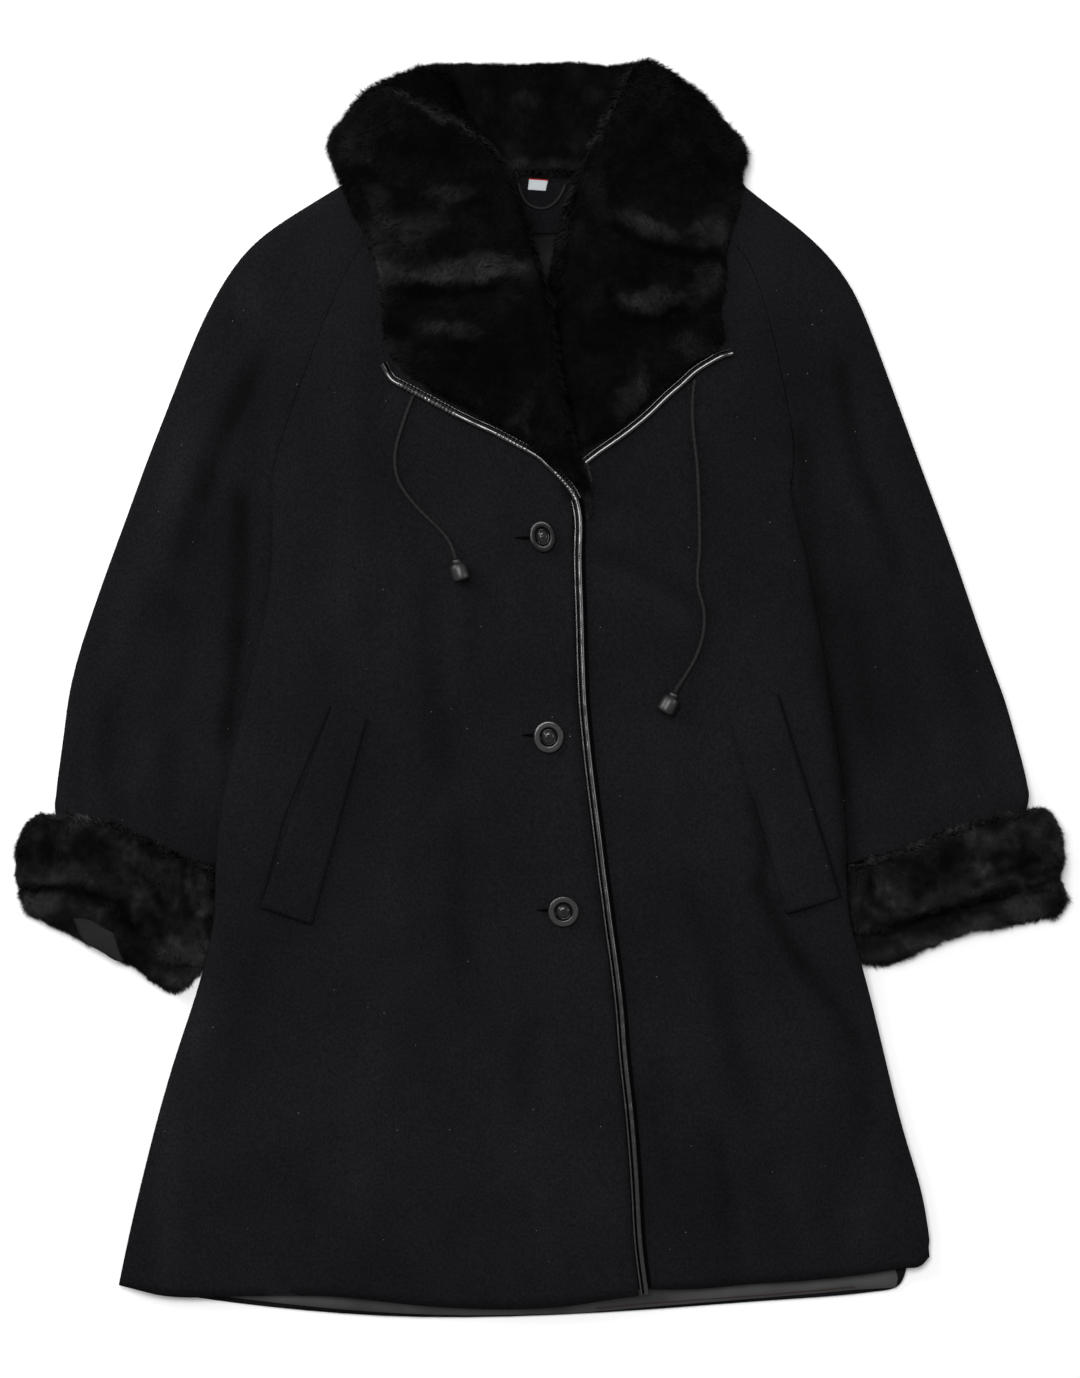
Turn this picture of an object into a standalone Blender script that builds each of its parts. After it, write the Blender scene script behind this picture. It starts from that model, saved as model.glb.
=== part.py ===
"""An A-line wool coat with fur collar and cuffs, laid on its back on a flat surface.

The coat lies in the XY plane with its collar towards +Y and its front up, +Z. The origin is on the
surface, under the middle of the coat. Sizes below are in millimetres, and make_object turns them into
metres. "Right" and "left" are the wearer's: the wearer's right side is at -X.
"""

import math
from collections import namedtuple

import bmesh
import bpy
import numpy as np
from mathutils import Vector
from mathutils.bvhtree import BVHTree

MM = 0.001

# Cloth and heights
WOOL = 2.2            # wall of the wool
LINING = 1.0          # wall of the satin lining
GAP = 0.3             # left between pieces that touch
SEAM = 0.4            # left across a seam, measured along X
PLATEAU = 16.0        # top of the fronts above the surface
HEM_PLATEAU = 11.5    # the same at the hem
HEM_FALL = 130.0      # length over which the fronts come down to it
SIDE_DROP = 1.6       # how far a front is lower at its side
SIDE_REACH = 24.0     # and how quickly it gets there
LAP_RISE = 3.2        # how far the upper front is raised where it laps the other
LAP_SINK = 0.3        # how far the under front is pressed down there
LAP_WIDTH = 66.0      # width of the lap

# Outline of the body. The side edge below the armpit is where the side rolls under.
ARMPIT_Y = 168.0
ROLL_LENGTH = 48.0    # below the armpit, where the side roll grows to its full depth
STRAIGHT_HEM_Y = -350.0  # rows above it are level, and rows below it bend to the hem
FRONT_HEM_Y = -492.0  # how far down the side edges are read for the fronts' hem
BACK_HEM_Y = -497.0   # and for the back's
NECK_SEAM_Y = 412.0   # top of the back

Side = namedtuple("Side", "y right left")
SIDES = [
    Side(412, -62, 64), Side(395, -112, 118), Side(360, -149, 168), Side(325, -166, 180),
    Side(290, -180, 190), Side(236, -200, 201), Side(195, -214, 208), Side(168, -220, 205),
    Side(140, -219, 210), Side(103, -219, 219), Side(67, -223, 225), Side(33, -231, 231),
    Side(-2, -239, 236), Side(-51, -250, 243), Side(-99, -260, 248), Side(-147, -264, 249),
    Side(-180, -264, 250), Side(-217, -271, 260), Side(-260, -284, 272), Side(-315, -303, 285),
    Side(-376, -319, 300), Side(-417, -329, 311), Side(-458, -338, 317), Side(-500, -346, 321),
]

FrontEdge = namedtuple("FrontEdge", "y edge")
FRONT_EDGE = [
    FrontEdge(412, -72), FrontEdge(395, -60), FrontEdge(360, -34), FrontEdge(325, -20),
    FrontEdge(290, -6), FrontEdge(236, 8), FrontEdge(195, 22), FrontEdge(150, 34), FrontEdge(115, 34),
    FrontEdge(78, 35), FrontEdge(0, 37), FrontEdge(-47, 41), FrontEdge(-82, 45), FrontEdge(-155, 54),
    FrontEdge(-227, 64), FrontEdge(-302, 71), FrontEdge(-375, 79), FrontEdge(-431, 82), FrontEdge(-500, 89),
]
BINDING = 7.4         # the leather binding's share of the front edge
BREAK_Y = 150.0       # where the collar's roll starts on the front edge

UnderEdge = namedtuple("UnderEdge", "y edge")
UNDER_EDGE = [
    UnderEdge(412, 74), UnderEdge(395, 66), UnderEdge(360, 48), UnderEdge(325, 38), UnderEdge(290, 30),
    UnderEdge(236, 18), UnderEdge(195, 0), UnderEdge(150, -22), UnderEdge(78, -31), UnderEdge(0, -30),
    UnderEdge(-155, -12), UnderEdge(-302, 5), UnderEdge(-500, 22),
]

Hem = namedtuple("Hem", "x y")
RIGHT_HEM = [Hem(-346, -487), Hem(-328, -491), Hem(-297, -498), Hem(-250, -496), Hem(-177, -495),
             Hem(-99, -504), Hem(-31, -507), Hem(16, -505), Hem(49, -499), Hem(90, -494)]
LEFT_HEM = [Hem(20, -489), Hem(88, -490), Hem(124, -491), Hem(154, -487), Hem(218, -483),
            Hem(255, -479), Hem(296, -473), Hem(321, -464)]
BACK_HEM = [Hem(-346, -484), Hem(-329, -488), Hem(-290, -499), Hem(-202, -509), Hem(-99, -517), Hem(-10, -518),
            Hem(49, -512), Hem(133, -504), Hem(237, -498), Hem(276, -494), Hem(290, -486),
            Hem(299, -472), Hem(321, -455)]

ROW_LEVELS = [395, 360, 325, 290, 258, 226, 195, 168, 149, 134, 118, 92, 60, 25, -10, -45, -78, -105,
              -128, -150, -172, -196, -225, -260, -300, -350]
BACK_HEM_INSET = 5.0  # how much further in the back's side seam is at the hem
FRONT_COLUMNS = [0.0, 0.05, 0.12, 0.2, 0.3, 0.4, 0.5, 0.6, 0.7, 0.79, 0.87, 0.94, 1.0]
BACK_COLUMNS = [0.16, 0.36, 0.6, 0.8, 0.92]
BackRise = namedtuple("BackRise", "inset share")
BACK_RISE = [BackRise(0.0, 1.0), BackRise(6.0, 0.55), BackRise(13.0, 0.16), BackRise(21.0, 0.0)]
BACK_LINING_INSET = 40.0   # the lining stops short of the side seams
BACK_LINING_SHORT = 4.0    # and of the hem
BACK_LINING_COLUMNS = 6
HEM_ROWS = 4          # rows between STRAIGHT_HEM_Y and the hem

# The side roll: the front turns under itself at the side and ends at the side seam.
RollPoint = namedtuple("RollPoint", "inset z")
ROLL = [RollPoint(14.0, 6.5), RollPoint(5.0, 7.0), RollPoint(1.2, 8.7), RollPoint(0.0, 10.5),
        RollPoint(1.6, 12.4), RollPoint(6.5, 13.9)]
FLAT_ROLL_STEP = 0.6  # spacing of the same points where nothing is rolled under
ROLL_END = 16.0       # inset where the panel proper starts

# The side lies over the inner end of the cuff and is lifted by it.
SideLift = namedtuple("SideLift", "y lift")
SIDE_LIFT = [SideLift(0, 0), SideLift(-45, 3), SideLift(-80, 7), SideLift(-108, 10.5), SideLift(-130, 13),
             SideLift(-195, 13), SideLift(-228, 8), SideLift(-265, 0)]
SIDE_LIFT_REACH = 48.0

# Folds, each a soft trough or ridge along a bent line. Height is below zero for a trough.
Fold = namedtuple("Fold", "x0 y0 x1 y1 x2 y2 width height")
BODY_FOLDS = [
    Fold(172, -91, 182, -165, 255, -290, 17, -4.0),
    Fold(192, -120, 214, -190, 268, -268, 15, 2.4),
    Fold(118, -158, 128, -240, 176, -352, 18, -3.2),
    Fold(143, -366, 150, -430, 155, -486, 16, -3.0),
    Fold(47, 112, 92, 92, 128, 64, 13, -2.6),
    Fold(52, 86, 96, 70, 118, 50, 14, 2.0),
    Fold(-93, 81, -89, 12, -79, -72, 18, -2.6),
    Fold(-62, 88, -60, 50, -58, 19, 14, 2.2),
    Fold(-66, -112, -64, -165, -64, -225, 18, -2.6),
    Fold(-9, -274, -12, -305, -15, -341, 17, -2.4),
    Fold(-190, -200, -205, -310, -232, -420, 24, -3.4),
    Fold(-140, -260, -150, -360, -160, -480, 26, 2.8),
    Fold(-96, -330, -100, -410, -104, -500, 22, -2.4),
    Fold(-238, -60, -246, -150, -262, -240, 18, 2.0),
    Fold(214, 60, 224, -10, 232, -70, 18, -2.6),
    Fold(150, 180, 176, 120, 196, 60, 20, -2.4),
    Fold(-150, 200, -178, 130, -192, 60, 22, -2.4),
    Fold(222, -330, 246, -400, 262, -474, 20, 2.6),
]
SLEEVE_FOLDS = [
    Fold(-244, 194, -246, 70, -262, -50, 16, -4.2),
    Fold(-219, 288, -252, 222, -284, 110, 24, 2.4),
    Fold(-300, 150, -322, 60, -340, -30, 20, -2.6),
    Fold(-352, 40, -362, -30, -368, -88, 14, 2.6),
    Fold(-300, -20, -308, -62, -312, -104, 13, -3.0),
    Fold(-210, 330, -228, 300, -252, 280, 15, -2.2),
    Fold(240, 277, 260, 205, 290, 100, 20, -2.2),
    Fold(228, 318, 246, 290, 262, 240, 18, 2.2),
    Fold(300, 140, 322, 60, 336, -30, 20, 2.6),
    Fold(250, 150, 262, 40, 276, -60, 17, -3.6),
    Fold(352, 20, 364, -40, 372, -96, 14, -2.6),
    Fold(308, -10, 316, -50, 322, -98, 13, -2.6),
]
FOLD_SAMPLES = 24

# Sleeves. Each row runs from its inner end, on the raglan seam or under the body's side, to the outer
# fold. The rows on the raglan seam are level with the body's rows.
SleeveRow = namedtuple("SleeveRow", "inner_x inner_y outer_x outer_y")
SLEEVE_RIGHT_TAIL = [
    SleeveRow(-211, 118, -369, 56), SleeveRow(-212, 92, -378, 28), SleeveRow(-215, 60, -384, 5),
    SleeveRow(-222, 25, -388, -18), SleeveRow(-231, -10, -391, -45), SleeveRow(-240, -45, -395, -72),
    SleeveRow(-250, -78, -396, -89), SleeveRow(-256, -105, -396, -98), SleeveRow(-263, -130, -393, -108),
    SleeveRow(-267, -144.5, -391, -121),
]
SLEEVE_RIGHT_TOP = [(-160, 414), (-186, 398), (-214, 381), (-240, 361), (-262, 330), (-282, 290),
                    (-301, 240), (-321, 190), (-338, 142), (-353, 102)]
SLEEVE_LEFT_TAIL = [
    SleeveRow(207, 118, 355, 62), SleeveRow(212, 92, 364, 36), SleeveRow(217, 60, 373, 12),
    SleeveRow(222, 25, 382, -12), SleeveRow(228, -10, 389, -38), SleeveRow(233, -45, 396, -63),
    SleeveRow(238, -78, 399, -80), SleeveRow(241, -105, 399, -89), SleeveRow(243.5, -128, 397, -97),
    SleeveRow(246, -143.5, 395, -108),
]
SLEEVE_LEFT_TOP = [(166, 413), (186, 397), (212, 378), (236, 356), (257, 328), (271, 294),
                   (290, 243), (308, 193), (326, 145), (341, 104)]
RAGLAN_ROWS = 8       # rows on the raglan seam, then two more while the armpit closes
SLEEVE_TOP = 14.8     # top of a sleeve
SLEEVE_INNER = 5.9    # thickness of the sleeve's inner fold, under the body's side
SLEEVE_FLAT = 10.0    # width of that fold before the sleeve rises
SLEEVE_SLOPE = 19.0   # how quickly it rises from there
SLEEVE_TOP_COLUMNS = (0.13, 0.24, 0.36, 0.5, 0.64, 0.78, 0.9)
SLEEVE_UNDER_COLUMNS = (0.78, 0.55, 0.3)
SLEEVE_END_BULGE = 4.6     # half height of the outer fold, as far as the sleeve's height allows it
CUFF_WALL = 9.0       # fur and its backing
CUFF_HEIGHT = 31.0
CUFF_SIDES = 24
CUFF_WIDTH = 170.0    # across its mouth
CuffStation = namedtuple("CuffStation", "along height")
CUFF_STATIONS = [CuffStation(0.0, 0.72), CuffStation(0.07, 0.94), CuffStation(0.3, 1.0),
                 CuffStation(0.55, 0.97), CuffStation(0.8, 1.0), CuffStation(0.94, 0.95),
                 CuffStation(1.0, 0.74)]
CUFF_INNER_END = 0.56      # height of the cuff's inner end, as a share of its whole height
CUFF_END_LENGTH = 0.18     # share of its width over which it gets to that
CUFF_ROUND = (0.55, 0.62)  # how square its section is, across and up; 1 is an ellipse
SLEEVE_IN_CUFF = (CUFF_WALL + 1.6, 20.4)   # lowest and highest Z of the sleeve inside the cuff
CUFF_LINING = [(-381, -183), (-352, -187), (-339, -216), (-375, -201)]   # corners of what shows in it

# Cuffs, flat tubes of fur. The sleeve goes in at the mouth, the near layer ends at the near edge, and
# the far layer shows past it, to the far edge.
CuffPoint = namedtuple("CuffPoint", "across x y")
Cuff = namedtuple("Cuff", "mouth near far")
CUFF_RIGHT = Cuff(
    [CuffPoint(0, -254, -156), CuffPoint(0.25, -293, -136), CuffPoint(0.5, -334, -114),
     CuffPoint(0.75, -375, -103), CuffPoint(1, -410, -104)],
    [CuffPoint(0, -270, -222), CuffPoint(0.25, -303, -219), CuffPoint(0.5, -339, -176),
     CuffPoint(0.75, -380, -159), CuffPoint(1, -413, -161)],
    [CuffPoint(0, -272, -227), CuffPoint(0.25, -305, -242), CuffPoint(0.5, -344, -220),
     CuffPoint(0.75, -381, -203), CuffPoint(1, -414, -186)])
CUFF_LEFT = Cuff(
    [CuffPoint(0, 240, -148), CuffPoint(0.25, 290, -133), CuffPoint(0.5, 333, -115),
     CuffPoint(0.75, 373, -104), CuffPoint(1, 411, -98)],
    [CuffPoint(0, 254, -199), CuffPoint(0.25, 292, -190), CuffPoint(0.5, 334, -176),
     CuffPoint(0.75, 376, -165), CuffPoint(1, 408, -156)],
    [CuffPoint(0, 262, -217), CuffPoint(0.25, 298, -217), CuffPoint(0.5, 342, -201),
     CuffPoint(0.75, 382, -194), CuffPoint(1, 414, -183)])
CUFF_ROLL = 0.45       # how much thicker the far layer is at its rolled end
# How far the outer end of a cuff rounds out, at distances from its mouth.
CuffBulge = namedtuple("CuffBulge", "distance out")
CUFF_BULGES = [CuffBulge(0, 0), CuffBulge(5, 7.5), CuffBulge(22, 15), CuffBulge(42, 15.5), CuffBulge(58, 13.5),
               CuffBulge(72, 10), CuffBulge(80, 4.5), CuffBulge(84, 2)]

# Collar lobes: each row runs from the outer edge over a middle point to the rolled inner edge.
# Height scales the lobe's thickness, and rolled says whether the inner edge turns under itself.
LobeRow = namedtuple("LobeRow", "outer_x outer_y mid_x mid_y inner_x inner_y height rolled")
LOBE_RIGHT = [
    LobeRow(-163, 462, -133, 492, -80, 505, 0.3, True), LobeRow(-169, 456, -126, 483, -75, 498, 0.85, True),
    LobeRow(-173, 447, -117, 466, -65, 484, 1.2, True),
    LobeRow(-170, 430, -106, 442, -53, 457, 1.25, True), LobeRow(-162, 410, -90, 420, -29, 428, 1.15, True),
    LobeRow(-153, 388, -82, 398, -18, 405, 1.1, True), LobeRow(-140, 361, -74, 367, -7, 368, 1.0, True),
    LobeRow(-131, 341, -66, 341, 3, 340, 1.0, True), LobeRow(-129, 313, -60, 310, 11, 309, 1.0, True),
    LobeRow(-127, 288, -58, 280, 16, 276, 1.0, True), LobeRow(-124, 270, -53, 247, 23, 237, 1.0, True),
    LobeRow(-86, 244, -33, 220, 29, 202, 0.95, True), LobeRow(-34, 218, 0, 197, 34, 179, 0.85, True),
    LobeRow(16, 184, 27, 173, 38, 164, 0.6, True),
]
LOBE_LEFT = [
    LobeRow(149, 464, 122, 492, 77, 508, 0.3, True), LobeRow(158, 457, 120, 483, 70, 499, 0.85, True),
    LobeRow(165, 447, 117, 465, 60, 482, 1.2, True),
    LobeRow(166.5, 430, 110, 444, 50, 463, 1.25, True), LobeRow(165, 410, 101, 422, 38, 441, 1.15, True),
    LobeRow(161, 388, 93, 397, 24, 411, 1.1, True), LobeRow(153, 369, 85, 371, 16, 379, 1.0, True),
    LobeRow(152, 347, 81, 347, 10, 351, 1.0, True), LobeRow(151, 328, 81, 325, 6, 324, 1.0, True),
    LobeRow(145, 305, 81, 301, 7, 296, 1.0, False), LobeRow(152, 284, 85, 275, 13, 265, 1.0, False),
    LobeRow(144, 279, 88, 260, 18, 243, 1.0, False), LobeRow(118, 261, 71, 240, 23, 226, 1.0, False),
    LobeRow(90, 236, 58, 220, 26, 208, 0.9, False), LobeRow(61, 212, 45, 203, 29, 195, 0.8, False),
]
LOBE_REACH = 24.0     # a lobe clears what is within this distance beneath it
DRAPE_SLOPE = 0.45    # how steeply a thick layer comes down beyond that
DRAPE_STEPS = (9.0, 18.0, 27.0)
LobePoint = namedtuple("LobePoint", "across top across_in under")
LOBE_SECTION = [
    LobePoint(0.00, 5.5, 0.012, 0.0), LobePoint(0.04, 9.5, 0.045, 0.0), LobePoint(0.15, 12.0, 0.15, 0.0),
    LobePoint(0.32, 13.0, 0.32, 0.4), LobePoint(0.50, 15.0, 0.50, 3.5), LobePoint(0.68, 18.5, 0.68, 8.6),
    LobePoint(0.84, 20.5, 0.82, 10.4), LobePoint(0.94, 19.0, 0.88, 10.2), LobePoint(0.985, 14.5, 0.905, 9.6),
    LobePoint(1.00, 9.0, 0.91, 8.8), LobePoint(0.975, 3.0, 0.90, 7.8), LobePoint(0.92, 0.3, 0.88, 7.2),
    LobePoint(0.78, 0.0, 0.78, 6.8), LobePoint(0.62, 0.0, 0.62, 6.6),
]
FLAT_LOBE_SECTION = [
    LobePoint(0.00, 5.5, 0.012, 0.0), LobePoint(0.04, 9.5, 0.045, 0.0), LobePoint(0.15, 12.0, 0.15, 0.0),
    LobePoint(0.32, 13.0, 0.32, 0.0), LobePoint(0.50, 14.0, 0.50, 0.0), LobePoint(0.68, 14.0, 0.68, 0.0),
    LobePoint(0.84, 9.0, 0.84, 0.0), LobePoint(1.00, 5.0, 0.99, 0.0),
]

# Fur band behind the neck: a folded strip, its outer leaf on the surface and its inner leaf above.
BAND_BOTTOM_Y = 420.4      # lower edge of the inner leaf
BAND_LOW_Y = 430.0         # and of the outer leaf
OUTER_LEAF_POINTS = 4      # points of the section that are on the outer leaf
BandTop = namedtuple("BandTop", "x y")
BAND_TOPS = [BandTop(-104, 507), BandTop(-80, 510), BandTop(-52, 511), BandTop(-14, 508), BandTop(0, 511),
             BandTop(30, 512), BandTop(48, 507), BandTop(62, 510), BandTop(88, 511)]
BAND_COLUMNS = [-104, -88, -70, -50, -28, -6, 16, 36, 54, 72, 88]
BandPoint = namedtuple("BandPoint", "along out_z in_along in_z")
BAND_SECTION = [
    BandPoint(0.10, 0.0, 0.10, 8.0), BandPoint(0.45, 0.0, 0.45, 8.8), BandPoint(0.80, 0.0, 0.80, 9.2),
    BandPoint(0.94, 1.5, 0.885, 9.6), BandPoint(1.00, 9.0, 0.90, 10.4), BandPoint(0.985, 17.0, 0.89, 11.6),
    BandPoint(0.90, 21.5, 0.85, 12.2), BandPoint(0.62, 22.0, 0.62, 12.6), BandPoint(0.36, 20.5, 0.36, 11.6),
    BandPoint(0.16, 16.0, 0.16, 8.4), BandPoint(0.00, 13.0, 0.0, 5.2),
]

# Small pieces
LABEL_BOX = (-8.6, 7.0, 409.6, 419.0)     # lowest and highest X, lowest and highest Y
LABEL_THICK = 0.9
FACING_LOW_Y = 373.0
FacingRow = namedtuple("FacingRow", "y half sag")
FACING = [FacingRow(419.6, 52, 0), FacingRow(404, 60, 1), FacingRow(390, 62, 3), FacingRow(FACING_LOW_Y, 60, 5)]
FACING_COLUMNS = 8
FACING_THICK = 2.0
LOOP_PATH = [(-17.5, 414), (-15.6, 405.5), (-9.8, 396.5), (0.4, 393), (9.4, 395.5), (17, 404),
             (20.8, 413)]
LOOP_THICK = 3.2

WELT_THICK = 2.4
WELT_CELLS = (12, 3)
WELT_REACH = 8.0
WELT_RIGHT = [(-169, -13), (-141, -24), (-186, -192), (-227, -177)]
WELT_LEFT = [(193, -4), (153, -19), (200, -183), (243, -169)]

Button = namedtuple("Button", "name x y tilt")
BUTTONS = [Button("button_1", 2, 124, 14), Button("button_2", 7, -39, 3), Button("button_3", 19, -181, 0)]
ButtonPoint = namedtuple("ButtonPoint", "radius z")
BUTTON_PROFILE = [ButtonPoint(10.4, 0.0), ButtonPoint(12.6, 1.2), ButtonPoint(13.1, 2.6), ButtonPoint(12.3, 3.9),
                  ButtonPoint(9.0, 4.2), ButtonPoint(7.7, 3.6), ButtonPoint(7.0, 2.0)]
BUTTON_SIDES = 24

CORD_RADIUS = 1.55
CORD_STEP = 7.6
CORD_REACH = 6.0      # the cord clears the cloth within this distance
CORD_RISE = 24.0      # length over which it rises to the toggle's middle
CORD_RIGHT_ROUTE = [(-104.6, 235.5), (-107.3, 228.5), (-112, 215), (-116.5, 200), (-118.2, 187),
                    (-116.5, 173.5), (-110.5, 161), (-100, 148), (-88.5, 136.5), (-79.5, 127.5),
                    (-72.5, 117.5), (-68.5, 105.5)]
CORD_LEFT_ROUTE = [(126, 252), (124.6, 240), (124.2, 222), (125.6, 204), (128, 183), (129.2, 160), (130, 134),
                   (130, 112), (128.4, 94), (129.2, 81), (133, 67.5), (134, 55), (132, 40.5), (126.8, 25.5),
                   (119.4, 12.5), (111.5, 0.5), (109.5, -3.2)]
TogglePoint = namedtuple("TogglePoint", "along radius")
TOGGLE_PROFILE = [TogglePoint(0.0, 2.4), TogglePoint(1.2, 3.4), TogglePoint(3.0, 4.0), TogglePoint(5.2, 5.8),
                  TogglePoint(9.0, 6.6), TogglePoint(13.0, 6.4), TogglePoint(15.2, 5.2), TogglePoint(16.2, 2.6)]
TOGGLE_SIDES = 12

TRIM_STEP = 13.0
TRIM_REACH = 5.0
TrimPoint = namedtuple("TrimPoint", "across z")
TRIM_PROFILE = [TrimPoint(-3.3, 0.0), TrimPoint(3.0, 0.0), TrimPoint(3.4, 2.2), TrimPoint(2.0, 4.4),
                TrimPoint(0.2, 4.5), TrimPoint(-1.0, 3.1), TrimPoint(-2.2, 3.6), TrimPoint(-3.3, 2.6)]
TRIM_RIGHT_PATH = [(-127, 265), (-120, 253.5), (-110.5, 248), (-92, 238), (-72, 227), (-54, 218), (-36.5, 210),
                   (-18.5, 200.5), (-1, 190.5), (14, 175.5), (24, 162), (30.5, 152.5)]
TRIM_LEFT_PATH = [(156.5, 275), (147.5, 272.5), (138, 267.5), (125.5, 259.5), (114, 249), (103.5, 240),
                  (88, 225), (73, 212.5), (60, 203), (47, 194), (36, 185.5)]

COLOURS = {
    "wool": (0.0085, 0.0088, 0.0100), "fur": (0.0035, 0.0033, 0.0032), "leather": (0.006, 0.006, 0.006),
    "satin": (0.013, 0.0125, 0.012), "horn": (0.012, 0.012, 0.012), "cord": (0.006, 0.006, 0.006),
    "label": (0.80, 0.79, 0.77),
}
ROUGHNESS = {"wool": 0.95, "fur": 0.8, "leather": 0.35, "satin": 0.4, "horn": 0.25, "cord": 0.7, "label": 0.8}

built = {}            # name of each piece so far: its object's BVH tree, in millimetres


def smooth_line(knots, values):
    """Returns a curve through the values that never overshoots them, for knots in any order."""
    order = np.argsort(knots)
    x = np.array(knots, float)[order]
    y = np.array(values, float)[order]
    step = np.diff(x)
    slope = np.diff(y) / step
    tangent = np.zeros(len(x))
    tangent[0], tangent[-1] = slope[0], slope[-1]
    for i in range(1, len(x) - 1):
        if slope[i - 1] * slope[i] > 0:
            tangent[i] = 2 * slope[i - 1] * slope[i] / (slope[i - 1] + slope[i])

    def value(at):
        at = min(max(at, x[0]), x[-1])
        i = min(int(np.searchsorted(x, at, side="right")) - 1, len(step) - 1)
        t = (at - x[i]) / step[i]
        return float((2 * t**3 - 3 * t**2 + 1) * y[i] + (t**3 - 2 * t**2 + t) * step[i] * tangent[i]
                     + (3 * t**2 - 2 * t**3) * y[i + 1] + (t**3 - t**2) * step[i] * tangent[i + 1])

    return value


def column(table, key, name):
    """Returns one column of a table as a curve over another column."""
    return smooth_line([getattr(row, key) for row in table], [getattr(row, name) for row in table])


def ease(value, start, end):
    """Goes smoothly from 0 at start to 1 at end."""
    t = min(max((value - start) / (end - start), 0.0), 1.0)
    return t * t * (3 - 2 * t)


right_side = column(SIDES, "y", "right")
left_side = column(SIDES, "y", "left")
front_edge = column(FRONT_EDGE, "y", "edge")
under_edge = column(UNDER_EDGE, "y", "edge")
right_hem = column(RIGHT_HEM, "x", "y")
left_hem = column(LEFT_HEM, "x", "y")
back_hem = column(BACK_HEM, "x", "y")
side_lift = column(SIDE_LIFT, "y", "lift")
band_top = column(BAND_TOPS, "x", "y")
cuff_bulge = column(CUFF_BULGES, "distance", "out")


def fold_height(folds, x, y):
    """Adds up the troughs and ridges that reach a point."""
    total = 0.0
    for fold in folds:
        reach = 3 * fold.width
        if not min(fold.x0, fold.x1, fold.x2) - reach < x < max(fold.x0, fold.x1, fold.x2) + reach:
            continue
        if not min(fold.y0, fold.y1, fold.y2) - reach < y < max(fold.y0, fold.y1, fold.y2) + reach:
            continue
        nearest, at = 1e9, 0.0
        for i in range(FOLD_SAMPLES + 1):
            t = i / FOLD_SAMPLES
            px = (1 - t)**2 * fold.x0 + 2 * t * (1 - t) * fold.x1 + t * t * fold.x2
            py = (1 - t)**2 * fold.y0 + 2 * t * (1 - t) * fold.y1 + t * t * fold.y2
            distance = math.hypot(x - px, y - py)
            if distance < nearest:
                nearest, at = distance, t
        taper = math.sin(math.pi * (0.12 + 0.76 * at))
        total += fold.height * taper * math.exp(-(nearest / fold.width)**2)
    return total


def plateau(y):
    """Height of the fronts' upper side, before folds."""
    return HEM_PLATEAU + (PLATEAU - HEM_PLATEAU) * ease(y, -505, -505 + HEM_FALL)


def roll_amount(y):
    """How much of the side is rolled under: none at the armpit and all of it a little lower."""
    return ease(y, ARMPIT_Y - 2, ARMPIT_Y - ROLL_LENGTH)


def body_height(x, y):
    """Height of the outer side of the body's front, without the lap."""
    inset = min(x - right_side(y), left_side(y) - x)
    inset = max(inset, 0.0)
    lifted = side_lift(y) * math.exp(-(inset / SIDE_LIFT_REACH)**2)
    edge = ease(inset, 4, 40)
    return plateau(y) - SIDE_DROP * math.exp(-inset / SIDE_REACH) + lifted + edge * fold_height(BODY_FOLDS, x, y)


def make_object(name, points, faces, material):
    """Makes one closed solid from points in millimetres and keeps it for what is laid on it."""
    mesh = bpy.data.meshes.new(name)
    shape = bmesh.new()
    corners = [shape.verts.new(Vector(point) * MM) for point in points]
    for face in faces:
        shape.faces.new([corners[i] for i in face])
    bmesh.ops.triangulate(shape, faces=shape.faces[:])
    bmesh.ops.recalc_face_normals(shape, faces=shape.faces[:])
    shape.to_mesh(mesh)
    shape.free()
    mesh.shade_smooth()
    mesh.set_sharp_from_angle(angle=math.radians(40))
    mesh.materials.append(make_material(name, material))
    item = bpy.data.objects.new(name, mesh)
    bpy.context.scene.collection.objects.link(item)
    built[name] = BVHTree.FromPolygons([vertex.co / MM for vertex in mesh.vertices],
                                       [tuple(polygon.vertices) for polygon in mesh.polygons])
    return item


def make_material(name, kind):
    """Makes the piece's own material."""
    material = bpy.data.materials.new(name)
    material.use_nodes = True
    shader = material.node_tree.nodes["Principled BSDF"]
    shader.inputs["Base Color"].default_value = (*COLOURS[kind], 1.0)
    shader.inputs["Roughness"].default_value = ROUGHNESS[kind]
    shader.inputs["Metallic"].default_value = 0.0
    return material


def highest(names, x, y, reach):
    """Height of the highest of the named pieces around a point, or the surface's."""
    top = 0.0
    spots = [(0, 0), (1, 0), (-1, 0), (0, 1), (0, -1), (0.7, 0.7), (-0.7, 0.7), (0.7, -0.7), (-0.7, -0.7)]
    for name in names:
        for dx, dy in spots:
            hit = built[name].ray_cast(Vector((x + reach * dx, y + reach * dy, 500)), Vector((0, 0, -1)))
            if hit[0] is not None:
                top = max(top, hit[0].z)
    return top


def draped(names, x, y, reach):
    """Height at which a thick layer lies: clear of what is within reach, and sloping down past it."""
    top = highest(names, x, y, reach)
    for further in DRAPE_STEPS:
        top = max(top, highest(names, x, y, reach + further) - DRAPE_SLOPE * further)
    return top


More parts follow.
